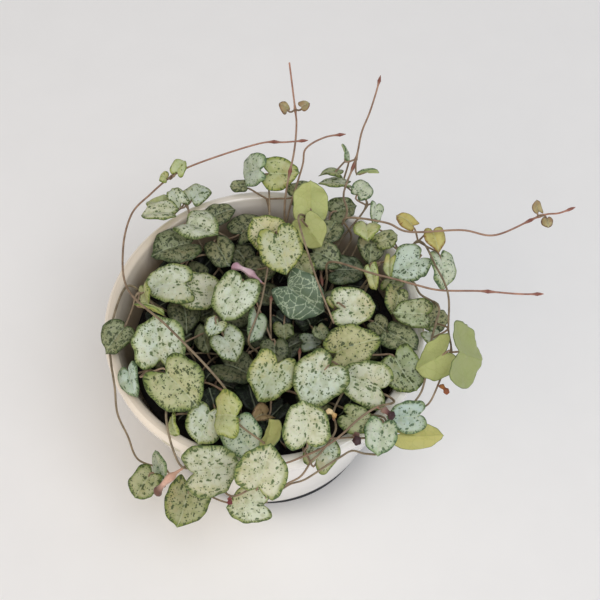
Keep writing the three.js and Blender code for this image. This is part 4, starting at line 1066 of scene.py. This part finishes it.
def newTree(name, inputs):  # a geometry tree with named inputs, and a way to add nodes to it
    tree = bpy.data.node_groups.new(name, "GeometryNodeTree")
    for label, (kind, value) in {"Geometry": ("Geometry", None), **inputs}.items():
        socket = tree.interface.new_socket(label, in_out="INPUT", socket_type="NodeSocket" + kind)
        if value is not None:
            socket.default_value = value
    tree.interface.new_socket("Geometry", in_out="OUTPUT", socket_type="NodeSocketGeometry")
    return tree, addNode(tree, "NodeGroupInput").outputs, partial(addNode, tree)


def closeTree(given, add, shape):  # every tree ends in plain geometry with its material set
    real = add("GeometryNodeRealizeInstances", [shape])
    dressed = add("GeometryNodeSetMaterial", {"Geometry": real, "Material": given["Finish"]})
    add("NodeGroupOutput", [dressed])


def runTree(obj, tree, values):  # runs a tree on an object and keeps the result as a plain mesh
    modifier = obj.modifiers.new(tree.name, "NODES")
    modifier.node_group = tree
    for item in tree.interface.items_tree:
        if item.in_out == "INPUT" and item.name in values:
            modifier[item.identifier] = values[item.name]
    bpy.context.view_layer.update()
    evaluated = obj.evaluated_get(bpy.context.evaluated_depsgraph_get())
    mesh = bpy.data.meshes.new_from_object(evaluated)
    obj.modifiers.remove(modifier)
    mesh.name = obj.name
    obj.data = mesh


def finishPiece(obj, slot, *nodes):  # smooth, on the one body, standing for its nodes
    for polygon in obj.data.polygons:
        polygon.use_smooth = True
    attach(obj, "root")
    if nodes:
        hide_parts(*nodes)


def circle(radius, z, count):  # places round the axis at one height
    turns = [2 * math.pi * k / count for k in range(count)]
    return [(radius * math.cos(turn), radius * math.sin(turn), z) for turn in turns]


def joinRings(rings, sides):  # faces between rings of vertices, each (first, how many)
    faces = []
    for (low, lowCount), (high, highCount) in zip(rings, rings[1:]):
        for k in range(sides):
            n = (k + 1) % sides
            if lowCount == 1:
                faces.append((low, high + n, high + k))
            elif highCount == 1:
                faces.append((low + k, low + n, high))
            else:
                faces.append((low + k, low + n, high + n, high + k))
    return faces


# The pot: thrown and turned, its rim rolled, with soft corners where the glaze has run.
# Its corners are cut by a length, and no more than this share of the shorter side
potShape = {
    "soften": 1.1, "cornerSteps": 6, "cornerShare": 0.45, "spanStep": 6, "footBevel": 1,
    "rimLip": (0.4, 1.4), "rimTop": ((0, 2.5), (1, 0.7), (3, 0), (4.8, 0.6)), "cornerFrom": 9,
    "floorBevel": 3, "skin": 0.5, "ringSlack": 0.05, "wallSlack": 1,
}


def roundedProfile(corners, radius, steps):  # cuts each corner of a profile with a small arc
    corners = [np.array(c, float) for c in corners]
    line = [corners[0]]
    share = potShape["cornerShare"]
    for before, corner, after in zip(corners, corners[1:], corners[2:]):
        toBefore, toAfter = before - corner, after - corner
        room = min(radius, math.hypot(*toBefore) * share, math.hypot(*toAfter) * share)
        start, end = corner + unit(toBefore) * room, corner + unit(toAfter) * room
        for k in range(steps + 1):
            t = k / steps
            line.append(start * (1 - t) ** 2 + corner * 2 * t * (1 - t) + end * t * t)
    line.append(corners[-1])
    return line


def potProfile():  # from the middle of the base, up outside, over the rim and down to the floor
    top, collar = pot["height"], pot["height"] - pot["collarHeight"]
    bevel, rim, floor = potShape["footBevel"], pot["rimRadius"], pot["floor"]
    inset, lift = potShape["rimLip"]
    corners = [
        (0, 0), (pot["footRadius"] - bevel, 0), (pot["footRadius"], bevel),
        (outerAt(darkFoot["high"]), darkFoot["high"]), (outerAt(collar), collar),
        (rim - inset, collar + lift)]
    corners += [(rim - inward, top - down) for inward, down in potShape["rimTop"]]
    corners += [
        (innerAt(top), top - pot["rimDrop"]),
        (innerAt(potShape["cornerFrom"]), potShape["cornerFrom"]),
        (innerAt(floor) - potShape["floorBevel"], floor), (0, floor)]
    fine = roundedProfile(corners, potShape["soften"], potShape["cornerSteps"])
    line = [fine[0]]
    for place in fine[1:]:
        steps = max(1, round(math.dist(line[-1], place) / potShape["spanStep"]))
        line += [line[-1] + (place - line[-1]) * k / steps for k in range(1, steps + 1)]
    line[0][0] = line[-1][0] = 0
    return line


def makePot():
    vertices, rings = [], []
    for radius, z in potProfile():
        ring = circle(radius, z, pot["segments"]) if radius else [(0, 0, z)]
        rings.append((len(vertices), len(ring)))
        vertices += ring
    obj = newObject("potWall", vertices, joinRings(rings, pot["segments"]))
    for name in ("glaze", "darkFoot"):
        obj.data.materials.append(materials[name])
    # the wall's points slide up it, so that one ring of them follows the top of the dark foot band
    start, end = darkFoot["high"], darkFoot["fade"]
    for vertex in obj.data.vertices:
        x, y, z = vertex.co / metre
        inside = math.hypot(x, y) < outerAt(z) - potShape["skin"]
        if z < start - potShape["ringSlack"] or z > end or inside:
            continue
        angle = math.atan2(y, x)
        lift = (darkFootTop(angle) - start) * (end - z) / (end - start)
        radius = outerAt(z + lift)
        place = np.array([radius * math.cos(angle), radius * math.sin(angle), z + lift])
        vertex.co = place * metre
    for polygon in obj.data.polygons:
        x, y, z = polygon.center / metre
        outside = z < potShape["footBevel"] or math.hypot(x, y) > innerAt(z) + potShape["wallSlack"]
        polygon.material_index = int(outside and z < darkFootTop(math.atan2(y, x)))
    finishPiece(obj, "glaze", "pot")


makePot()
print("pot made")

# Soil: a slightly domed bed of peat, rough all over, with loose crumbs on it. The roughness is
# noise in cells of three sizes, and it fades to a share of itself at the wall
bed = {
    "rings": 60, "segments": 160, "rough": 0.9, "cells": (7, 3.1, 1.5), "level": 0.9,
    "edgeFade": 2, "edgeRough": 0.15, "domePower": 4, "edgeDrop": 1.5, "footInset": 3,
    "bottom": 6.4, "crumbs": 1500, "crumbMin": 0.5, "crumbMax": 1.7, "seed": 11,
    "crumbRadius": 0.5, "crumbLeast": 0.7, "crumbSpan": 0.5, "crumbFlat": 0.7,
    "turn": 6.28, "table": 64, "tableShift": 200,
}


def valueNoise(points, cell, seed):  # smooth seeded noise from 0 to 1 at places in the plane
    size = bed["table"]
    table = np.random.default_rng(seed).random((size, size))
    p = np.asarray(points) / cell
    base = np.floor(p).astype(int)
    f = p - base
    f = f * f * (3 - 2 * f)
    at = lambda dx, dy: table[(base[:, 0] + dx) % size, (base[:, 1] + dy) % size]
    low = at(0, 0) * (1 - f[:, 0]) + at(1, 0) * f[:, 0]
    high = at(0, 1) * (1 - f[:, 0]) + at(1, 1) * f[:, 0]
    return low * (1 - f[:, 1]) + high * f[:, 1]


def soilBed():  # the bed of soil, a rough top and a plain cone below it
    edge = innerAt(soil["top"] - bed["edgeDrop"]) - soil["gap"]
    rings, segments = bed["rings"], bed["segments"]
    flat = [(0, 0, soil["top"])]
    for ring in range(1, rings + 1):
        share = ring / rings
        flat += circle(edge * share, soil["top"] - soil["dome"] * share ** bed["domePower"], segments)
    flat = np.array(flat)
    rough = sum(valueNoise(flat[:, :2] + bed["tableShift"], cell, bed["seed"] + i) / 2 ** i
                for i, cell in enumerate(bed["cells"])) - bed["level"]
    fade = np.clip((edge - np.hypot(flat[:, 0], flat[:, 1])) / bed["edgeFade"], bed["edgeRough"], 1)
    flat[:, 2] += rough * bed["rough"] * fade
    foot = innerAt(potShape["cornerFrom"]) - soil["gap"] - bed["footInset"]
    low = circle(foot, bed["bottom"], segments) + [(0, 0, bed["bottom"])]
    starts = [1 + ring * segments for ring in range(rings + 1)]
    faces = [(0, 1 + k, 1 + (k + 1) % segments) for k in range(segments)]
    for inner, outer in zip(starts, starts[1:]):
        for k in range(segments):
            n = (k + 1) % segments
            faces.append((inner + k, outer + k, outer + n, inner + n))
            if outer == starts[-1]:
                faces.append((outer + n, outer + k, outer + segments))
    obj = newObject("soilBed", [tuple(v) for v in flat] + low, faces)
    setAttributes(obj, {"FLOAT": {
        "soilTop": [float(k < starts[-2]) for k in range(len(flat) + len(low))]}})
    return obj, math.pi * (edge * metre) ** 2


def makeSoil():
    obj, area = soilBed()
    crumb = crumbShape()
    tree, given, add = newTree("crumbsOverSoil", {
        "Crumb": ("Object", None), "Density": ("Float", 1.0), "Smallest": ("Float", 0.001),
        "Largest": ("Float", 0.002), "Seed": ("Int", 1), "Finish": ("Material", None)})
    topOnly = add("GeometryNodeInputNamedAttribute", ["soilTop"], data_type="FLOAT")
    spread = add("GeometryNodeDistributePointsOnFaces", {
        "Mesh": given["Geometry"], "Selection": topOnly, "Density": given["Density"],
        "Seed": given["Seed"]})
    turn = add("FunctionNodeRandomValue", {
        0: (0, 0, 0), 1: (bed["turn"],) * 3, "Seed": given["Seed"]}, data_type="FLOAT_VECTOR")
    size = add("FunctionNodeRandomValue", {
        2: given["Smallest"], 3: given["Largest"], "Seed": given["Seed"]}, data_type="FLOAT")
    which = add("GeometryNodeObjectInfo", {"Object": given["Crumb"]}).outputs["Geometry"]
    placed = add("GeometryNodeInstanceOnPoints", {
        "Points": spread, "Instance": which, "Rotation": turn, "Scale": size})
    both = add("GeometryNodeJoinGeometry", [given["Geometry"]])
    fillInputs(both, [placed])
    closeTree(given, add, both)
    runTree(obj, tree, {
        "Crumb": crumb, "Density": bed["crumbs"] / area, "Smallest": bed["crumbMin"] * metre,
        "Largest": bed["crumbMax"] * metre, "Seed": bed["seed"], "Finish": materials["soil"]})
    bpy.data.objects.remove(crumb)
    finishPiece(obj, "potting_mix", "soil")


def crumbShape():  # one lump of peat, a metre across until the tree scales it
    shape = bmesh.new()
    bmesh.ops.create_icosphere(shape, subdivisions=1, radius=bed["crumbRadius"])
    draws = np.random.default_rng(bed["seed"]).random(len(shape.verts))
    for vertex, value in zip(shape.verts, draws):
        vertex.co *= bed["crumbLeast"] + bed["crumbSpan"] * value
        vertex.co.z *= bed["crumbFlat"]
    mesh = bpy.data.meshes.new("crumb")
    shape.to_mesh(mesh)
    shape.free()
    return addObject("crumb", mesh)


makeSoil()
print("soil made")

# A fleshy heart leaf: a closed lens whose two halves swell a little on each side of the rib.
# The wave's level is a noise from and to which the margin moves down and up
leafForm = {
    "thickness": 1.3, "outline": 72, "rings": 10, "smallOutline": 40, "smallRings": 6,
    "pillow": 0.14, "groove": 0.4, "grooveWidth": 0.07, "backGroove": -0.4, "wave": 1.1,
    "waveMm": 7, "waveSpan": (0.25, 0.75, -1, 1), "tip": 0.985, "tipRound": (-0.02, 0.14),
    "notchRound": (0.2, 1), "curveStep": 0.02, "swellPower": 4, "rimPower": 2, "skew": 0.05,
    "uneven": 4.2, "unevenMm": 8, "seedStep": 0.037, "seedStart": 0.05, "slant": 1.1,
}


def heartOutline(count):  # the whole outline from the notch round to the notch, evenly spaced
    half = [np.array(place, float) for place in heartHalf]
    half[-1] = np.array([0, leafForm["tip"]])
    controls = [half[0] + (half[0] - half[1]) * np.array(leafForm["notchRound"])] + half
    controls.append(half[-1] + np.array(leafForm["tipRound"]))
    fine = []
    for p0, p1, p2, p3 in zip(controls, controls[1:], controls[2:], controls[3:]):
        for t in np.arange(0, 1, leafForm["curveStep"]):
            fine.append(0.5 * (2 * p1 + (p2 - p0) * t + (2 * p0 - 5 * p1 + 4 * p2 - p3) * t * t
                               + (3 * p1 - p0 - 3 * p2 + p3) * t ** 3))
    fine.append(half[-1])
    fine = np.array(fine)
    run = np.concatenate([[0], np.cumsum(np.hypot(*np.diff(fine, axis=0).T))])
    even = np.linspace(0, run[-1], count // 2 + 1)
    right = np.stack([np.interp(even, run, fine[:, i]) for i in (0, 1)], 1)
    right[0, 0] = right[-1, 0] = 0
    left = right[-2:0:-1] * np.array([-1, 1])
    return np.vstack([right, left])


def heartShape(points, rings):  # the leaf that the tree repeats, a half width and a length to the unit
    outline = heartOutline(points)
    outline[:, 1] -= heart["middle"]
    count = len(outline)
    vertices, rim, face = [], [], []
    for sign in (1, -1):
        vertices.append((0, 0, sign * (1 - leafForm["groove"])))
        rim.append(0)
        for share in [math.sin(math.pi / 2 * (k / rings)) for k in range(1, rings)]:
            swell = math.sqrt(1 - share ** leafForm["swellPower"])
            for x, y in outline * share:
                dip = leafForm["groove"] * math.exp(-(x / leafForm["grooveWidth"]) ** 2)
                depth = dip * (1 if sign > 0 else leafForm["backGroove"])
                vertices.append((x, y, sign * swell * (1 - depth)))
            rim += [share] * count
        face += [sign] * (len(vertices) - len(face))
    edge = len(vertices)
    vertices += [(x, y, 0) for x, y in outline]
    rim += [1] * count
    face += [0] * count
    faces = []
    for start, flip in ((0, False), (edge // 2, True)):
        at = lambda ring, k: (edge if ring == rings else start + 1 + (ring - 1) * count) + k % count
        for k in range(count):
            quads = [(start, at(1, k), at(1, k + 1))]
            quads += [(at(r, k), at(r + 1, k), at(r + 1, k + 1), at(r, k + 1))
                      for r in range(1, rings)]
            faces += [tuple(reversed(q)) if flip else q for q in quads]
    obj = newObject("heart", vertices, faces, unit=1)
    setAttributes(obj, {"FLOAT_VECTOR": {"heartPlace": vertices},
                        "FLOAT": {"heartRim": rim, "heartFace": face}})
    return obj


def leafTree():
    tree, given, add = newTree("heartLeaves", {
        "Heart": ("Object", None), "Thickness": ("Float", 0.001), "Reach": ("Float", 0.5),
        "Pillow": ("Float", 0.1), "Wave": ("Float", 0.0003), "Uneven": ("Float", 0.002),
        "Finish": ("Material", None)})
    kinds = {"FLOAT_VECTOR": ("leafUp", "leafSide", "heartPlace"),
             "FLOAT": ("leafWidth", "leafLength", "leafFold", "leafDroop", "leafSkew",
                       "leafSeed", "heartRim")}
    up, side, heartPlace, width, length, fold, droop, skew, seed, rim = (
        add("GeometryNodeInputNamedAttribute", [name], data_type=kind)
        for kind, names in kinds.items() for name in names)
    turned = add("FunctionNodeAxesToRotation", (up, side), primary_axis="Z", secondary_axis="X")
    half = add("Math MULTIPLY", (width, 0.5))
    size = add("CombineXYZ", (half, length, add("Math MULTIPLY", (given["Thickness"], 0.5))))
    which = add("GeometryNodeObjectInfo", {"Object": given["Heart"]}).outputs["Geometry"]
    placed = add("GeometryNodeInstanceOnPoints", {
        "Points": given["Geometry"], "Instance": which, "Rotation": turned, "Scale": size})
    real = add("GeometryNodeRealizeInstances", [placed])
    # the two halves fold up from the rib, the ends droop, and each lobe is blown up like a pillow
    x, y, _ = add("SeparateXYZ", [heartPlace]).outputs
    across = add("Math ABSOLUTE", [x])
    reach = add("Math DIVIDE", (y, given["Reach"]))
    reachSquare = add("Math MULTIPLY", (reach, reach))
    folded = add("Math MULTIPLY", (add("Math MULTIPLY", (fold, half)), across))
    lobe = add("Math SINE", [add("Math MULTIPLY", (across, math.pi))])
    inward = add("Math SUBTRACT", (1, reachSquare))
    swell = add("Math MULTIPLY", (lobe, add("Math MULTIPLY", (half, given["Pillow"]))))
    swollen = add("Math MULTIPLY", (swell, inward))
    # the margin waves, differently on each leaf
    flesh = add("VectorMath MULTIPLY", (heartPlace, size))
    seedUp = add("CombineXYZ", {"Z": seed})
    spot = add("VectorMath ADD", (flesh, seedUp))
    waves = add("TexNoise", (spot, *scaled((leafForm["waveMm"], 1))))
    rimShare = add("Math POWER", (rim, leafForm["rimPower"]))
    waved = add("Math MULTIPLY", (add("MapRange", (waves, *leafForm["waveSpan"])), rimShare))
    drooped = add("Math MULTIPLY", (droop, reachSquare))
    level = add("Math SUBTRACT", (add("Math ADD", (folded, swollen)), drooped))
    height = add("Math ADD", (level, add("Math MULTIPLY", (waved, given["Wave"]))))
    # a leaf's tip leans to one side, so no leaf is quite even
    leaned = add("VectorMath SCALE", (side, add("Math MULTIPLY", (reachSquare, skew))))
    raised = add("VectorMath ADD", (add("VectorMath SCALE", (up, height)), leaned))
    # and its outline wanders in and out
    wander = add("TexNoise", (spot, *scaled((leafForm["unevenMm"], 1))))
    centred = add("VectorMath SUBTRACT", (wander.outputs["Color"], (0.5, 0.5, 0.5)))
    strayed = add("VectorMath SCALE", (centred, add("Math MULTIPLY", (rimShare, given["Uneven"]))))
    upOnly = add("VectorMath SCALE", (up, add("VectorMath DOT_PRODUCT", (strayed, up))))
    inPlane = add("VectorMath SUBTRACT", (strayed, upOnly))
    move = add("VectorMath ADD", (raised, inPlane))
    moved = add("GeometryNodeSetPosition", {"Geometry": real, "Offset": move})
    # the place on the leaf in millimetres, for the skin's pattern
    flatPlace = add("VectorMath MULTIPLY", (add("VectorMath SCALE", (flesh, 1 / metre)), (1, 1, 0)))
    inMm = add("VectorMath ADD", (flatPlace, add("VectorMath SCALE", (seedUp, 1 / metre))))
    kept = add("GeometryNodeStoreNamedAttribute", {
        "Geometry": moved, "Name": "leafPlace", "Value": inMm},
        data_type="FLOAT_VECTOR", domain="POINT")
    smooth = add("GeometryNodeSetShadeSmooth", [kept])
    dressed = add("GeometryNodeSetMaterial", {"Geometry": smooth, "Material": given["Finish"]})
    add("NodeGroupOutput", [dressed])
    return tree


heartLeaf = heartShape(leafForm["outline"], leafForm["rings"])
leaves = leafTree()
leafDraws = np.random.default_rng(leafSkin["seed"])


def paintedDepthShade(place):  # painted shade: leaves low inside the pot are painted darker, down to a share of their tone, for the little light that reaches them
    if math.hypot(place[0], place[1]) > leafSkin["shadeWithin"]:
        return 1
    share = (place[2] - leafSkin["shadeLow"]) / (leafSkin["shadeHigh"] - leafSkin["shadeLow"])
    return leafSkin["shadeMost"] + (1 - leafSkin["shadeMost"]) * min(1, max(0, share))


def tinted(code, depth):  # a tone's colour on one leaf, times the painted depth shade, and at random a little lighter or darker and warmer or cooler
    red, green, blue, alpha = linear(code)
    light = depth * (1 + leafSkin["jitter"] * leafDraws.normal())
    warm = 1 + leafSkin["warmJitter"] * leafDraws.normal()
    return (red * light * warm, green * light, blue * light / warm, alpha)


def dressLeaves(name, own, shape, *nodes):  # a piece of leaves, each a point with its numbers
    obj = newObject(name, [leaf["middle"] for leaf in own], [])
    gather = lambda key: np.array([leaf[key] for leaf in own])
    skews = leafDraws.uniform(-leafForm["skew"], leafForm["skew"], len(own)) * gather("width")
    setAttributes(obj, {
        "FLOAT_VECTOR": {"leafUp": gather("up"), "leafSide": gather("across")},
        "FLOAT": {
            "leafWidth": gather("width") * metre, "leafLength": gather("length") * metre,
            "leafDroop": gather("droop") * metre, "leafFold": gather("fold"),
            "leafSeed": gather("index") * leafForm["seedStep"] + leafForm["seedStart"],
            "leafSkew": skews * metre}})
    tones = [leafTones[leaf["tone"]] for leaf in own]
    paintedShades = [paintedDepthShade(leaf["middle"]) for leaf in own]
    fields = ("leafSilver", "leafWarm", "leafMargin", "leafDark", "leafBack")
    setAttributes(obj, {"FLOAT_COLOR": {
        field: [tinted(tone[place], depth) for tone, depth in zip(tones, paintedShades)]
        for place, field in enumerate(fields)}})
    angles = leafDraws.uniform(0, 2 * math.pi, len(own))
    strength = leafDraws.uniform(0, leafForm["slant"], len(own)) / gather("width")
    slants = np.stack([np.cos(angles), np.sin(angles), 0 * angles], 1) * strength[:, None]
    setAttributes(obj, {"FLOAT_VECTOR": {
        "leafPattern": [tone[5:] for tone in tones], "leafSlant": slants}})
    runTree(obj, leaves, {
        "Heart": shape, "Thickness": leafForm["thickness"] * metre, "Reach": heart["reach"],
        "Pillow": leafForm["pillow"], "Wave": leafForm["wave"] * metre,
        "Uneven": leafForm["uneven"] * metre, "Finish": materials["leaf"]})
    finishPiece(obj, "leaf", *nodes)


# Vine stems: thin and wiry, swollen where leaves sit, pinker and ending in a bud at the tips
wire = {
    "step": 1.4, "sides": 9, "slim": 0.8, "swell": 0.55, "swellLength": 1.3, "tipShare": 0.72,
    "stalkTip": 0.8, "stalkAge": 0.2, "pink": 0.15, "pinkPower": 2, "budSwell": 0.7,
    "budLength": 1.5, "tipLength": 2.2, "tipLeast": 0.12, "tipPower": 0.6,
}

# How pink each runner's tip is, and where its buds sit as shares of its length
runnerBuds = {
    "runner_arch": (0.9, [0.94, 1]), "runner_upright": (0.9, [0.55]), "runner_north": (0.7, [1]),
    "runner_far_north": (0.6, [0.62, 1]), "runner_east": (1, [0.86, 1]),
    "runner_low_east": (1, [0.83, 1]), "runner_round_east": (0.2, []),
    "runner_across_south": (0.5, []), "runner_over_south": (0.3, []),
    "runner_low_south": (0.1, []), "bareShoots": (0.45, [1]),
}


def stemTree():
    tree, given, add = newTree("vineStems", {"Sides": ("Int", 8), "Finish": ("Material", None)})
    thick = add("GeometryNodeInputNamedAttribute", ["vineRadius"], data_type="FLOAT")
    curve = add("GeometryNodeMeshToCurve", {"Mesh": given["Geometry"]})
    ring = add("GeometryNodeCurvePrimitiveCircle", {
        "Resolution": given["Sides"], "Radius": 1}, mode="RADIUS")
    tube = add("GeometryNodeCurveToMesh", {
        "Curve": curve, "Profile Curve": ring, "Scale": thick, "Fill Caps": True})
    closeTree(given, add, tube)
    return tree


stems = stemTree()


def stemForm(line, stem):  # a stem's radius, pinkness and bud colour at each of its points
    run = np.concatenate([[0], np.cumsum(np.linalg.norm(np.diff(line, axis=0), axis=1))])
    share = run / run[-1]
    pink, buds = runnerBuds.get(stem["name"], (wire["pink"], []))
    radii = plant["stemRadius"] * wire["slim"] * (1 + (wire["tipShare"] - 1) * share)
    for node in stem["nodes"]:
        if node["pair"]:
            gap = np.linalg.norm(line - node["point"], axis=1) / wire["swellLength"]
            radii = radii + plant["stemRadius"] * wire["swell"] * np.exp(-gap * gap)
    budded = np.zeros(len(line))
    for spot in buds:
        gap = (run - spot * run[-1] + (wire["tipLength"] if spot == 1 else 0)) / wire["budLength"]
        budded = np.maximum(budded, np.exp(-gap * gap))
    radii = radii + plant["stemRadius"] * wire["budSwell"] * budded
    if 1 in buds:
        toTip = (run[-1] - run) / wire["tipLength"]
        radii = radii * np.clip(toTip, wire["tipLeast"], 1) ** wire["tipPower"]
    return radii, pink * share ** wire["pinkPower"], budded


def plainForm(line, radii, age):  # a stalk of one age without a bud
    return radii, np.full(len(line), age), np.zeros(len(line))


def makeWires(name, lines, forms, *nodes):  # a piece of stems along their lines
    edges, start = [], 0
    for line in lines:
        edges += [(start + k, start + k + 1) for k in range(len(line) - 1)]
        start += len(line)
    obj = newObject(name, np.vstack(lines), [], edges)
    radii, ages, buds = [np.concatenate(part) for part in zip(*forms)]
    setAttributes(obj, {"FLOAT": {"vineRadius": radii * metre, "vineAge": ages, "vineBud": buds}})
    runTree(obj, stems, {"Sides": wire["sides"], "Finish": materials["vine"]})
    finishPiece(obj, "stem", *nodes)


def makeStem(stem):  # one vine: a piece for its leaves, and one for its stem and stalks
    own = [leaf for node in stem["nodes"] for leaf in node["pair"]]
    if own:
        dressLeaves(stem["name"] + "_leaves", own, heartLeaf, stem["name"])
    root = np.array([*stem["root"], soil["top"] - soil["rootDepth"]])
    lines = [np.vstack([root, smoothLine(stem["tube"]["controls"], wire["step"])])]
    forms = [stemForm(lines[0], stem)]
    for stalk in stem["stalks"]:
        line = smoothLine(stalk["controls"], wire["step"])
        radii = plant["stalkRadius"] * np.linspace(wire["slim"], wire["stalkTip"], len(line))
        lines.append(line)
        forms.append(plainForm(line, radii, wire["stalkAge"]))
    makeWires(stem["name"] + "_vine", lines, forms, stem["name"])


for stem in grown["stems"]:
    makeStem(stem)
smallHeart = heartShape(leafForm["smallOutline"], leafForm["smallRings"])
dressLeaves("lowLeaves", lowLeaves, smallHeart)
makeWires("lowStalks", lowStalks, [
    plainForm(line, np.full(len(line), under["stalkRadius"]), wire["stalkAge"])
    for line in lowStalks])
makeWires("bareShoots", shootLines, [
    stemForm(line, {"name": "bareShoots", "nodes": []}) for line in shootLines])
bpy.data.objects.remove(heartLeaf)
bpy.data.objects.remove(smallHeart)
print("leaves and stems made")

# Lantern flowers: a swollen foot, a narrow neck and a mouth that opens again. The profile is
# across in widths and along in lengths, and five ridges run up it from a share of its length
bloom = {
    "sides": 20, "soften": 0.06, "cornerSteps": 4, "ridges": 5, "ridgeHigh": 0.12,
    "ridgeFrom": 0.3, "stalkRadius": 0.4, "stalkAge": 0.7, "stalkInto": 0.1, "profile": [
        (0, 0), (0.1, 0.02), (0.14, 0.12), (0.17, 0.22), (0.42, 0.36), (0.4, 0.46),
        (0.28, 0.58), (0.24, 0.7), (0.34, 0.8), (0.5, 0.88), (0.46, 0.94), (0.26, 0.99), (0, 1)],
}


def makeFlower(row):
    tube = next(s for s in grown["stems"] if s["name"] == row["stem"])["tube"]
    points = probePoints(tube["line"])
    start, mouth = overRim(row["from"]), overRim(row["mouth"])
    seat = points[np.argmin(np.linalg.norm(points - start, axis=1))]
    ahead = unit(mouth - seat)
    base = seat + ahead * (plant["stemRadius"] + plant["bloomGap"])
    length = math.dist(mouth, base)
    side = unit(np.cross(ahead, [0, 0, 1]))
    over = np.cross(side, ahead)
    outline = roundedProfile(bloom["profile"], bloom["soften"], bloom["cornerSteps"])
    outline[0][0] = outline[-1][0] = 0
    vertices, alongs, rings = [], [], []
    for across, along in outline:
        spread = 1 if across == 0 else bloom["sides"]
        rings.append((len(vertices), spread))
        bow = over * (plant["bloomBow"] * length * math.sin(math.pi * along))
        high = bloom["ridgeHigh"] * (along > bloom["ridgeFrom"])
        for k in range(spread):
            angle = 2 * math.pi * k / spread
            ridge = 1 + high * math.cos(bloom["ridges"] * angle)
            out = side * math.cos(angle) - over * math.sin(angle)
            vertices.append(base + ahead * (along * length) + bow
                            + out * (across * row["width"] * ridge))
            alongs.append(along)
    obj = newObject(row["name"] + "_petals", vertices, joinRings(rings, bloom["sides"]))
    setAttributes(obj, {"FLOAT": {"petalAlong": alongs}})
    obj.data.materials.append(makePetal(row["name"]))
    finishPiece(obj, "petal", row["name"])
    middle, end = seat + (base - seat) * 0.5, base + ahead * (length * bloom["stalkInto"])
    line = np.array([seat, middle, end])
    form = plainForm(line, np.full(len(line), bloom["stalkRadius"]), bloom["stalkAge"])
    makeWires(row["name"] + "_stalk", [line], [form], row["name"])


for row in flowers:
    makeFlower(row)
print("flowers made")

# Studio paper: a plain pale floor with a faint dry grain, and soft lights. The brightest stands
# at the right and front, and a weaker warm one fills from the left and front
studio = {
    "floorSize": 6, "floor": "#f3f2f1", "floorGrain": "#efeeed", "grain": (25,),
    "roughness": 0.7, "world": "#f4f5f6", "worldStrength": 0.45, "aim": (0, 0, 0.06),
    "lights": {
        "keyLight": {"place": (0.5, -0.75, 1.8), "size": 1.6, "power": 20.5, "tint": "#f8faff"},
        "fillLight": {"place": (-1.05, -0.95, 0.75), "size": 2.0, "power": 8.4,
                      "tint": "#ffe8ce"}},
}


def makeStudio():
    scene = bpy.context.scene
    half = studio["floorSize"] / 2
    corners = [(-half, -half, 0), (half, -half, 0), (half, half, 0), (-half, half, 0)]
    floor = newObject("studioFloor", corners, [(0, 1, 2, 3)], unit=1)
    material, shader, add = newMaterial("studioPaper")
    grain = add("TexNoise", (add("TexCoord").outputs["Object"], *scaled(studio["grain"])))
    tint = add("Mix RGBA", (grain, studio["floor"], studio["floorGrain"]))
    fillInputs(shader, {"Base Color": tint, "Roughness": studio["roughness"]})
    floor.data.materials.append(material)
    scene.view_settings.view_transform = "Standard"
    scene.world = bpy.data.worlds.new("studioWorld")
    scene.world.use_nodes = True
    fillInputs(scene.world.node_tree.nodes["Background"], {
        "Color": studio["world"], "Strength": studio["worldStrength"]})
    for name, row in studio["lights"].items():
        data = bpy.data.lights.new(name, "AREA")
        data.shape, data.size, data.energy = "DISK", row["size"], row["power"]
        data.color = linear(row["tint"])[:3]
        light = addObject(name, data)
        light.location = row["place"]
        aim = np.array(studio["aim"]) - np.array(row["place"])
        light.rotation_euler = (math.acos(-aim[2] / math.dist(aim, (0, 0, 0))), 0,
                                math.atan2(aim[1], aim[0]) - math.pi / 2)


makeStudio()
print("floor and lights made")
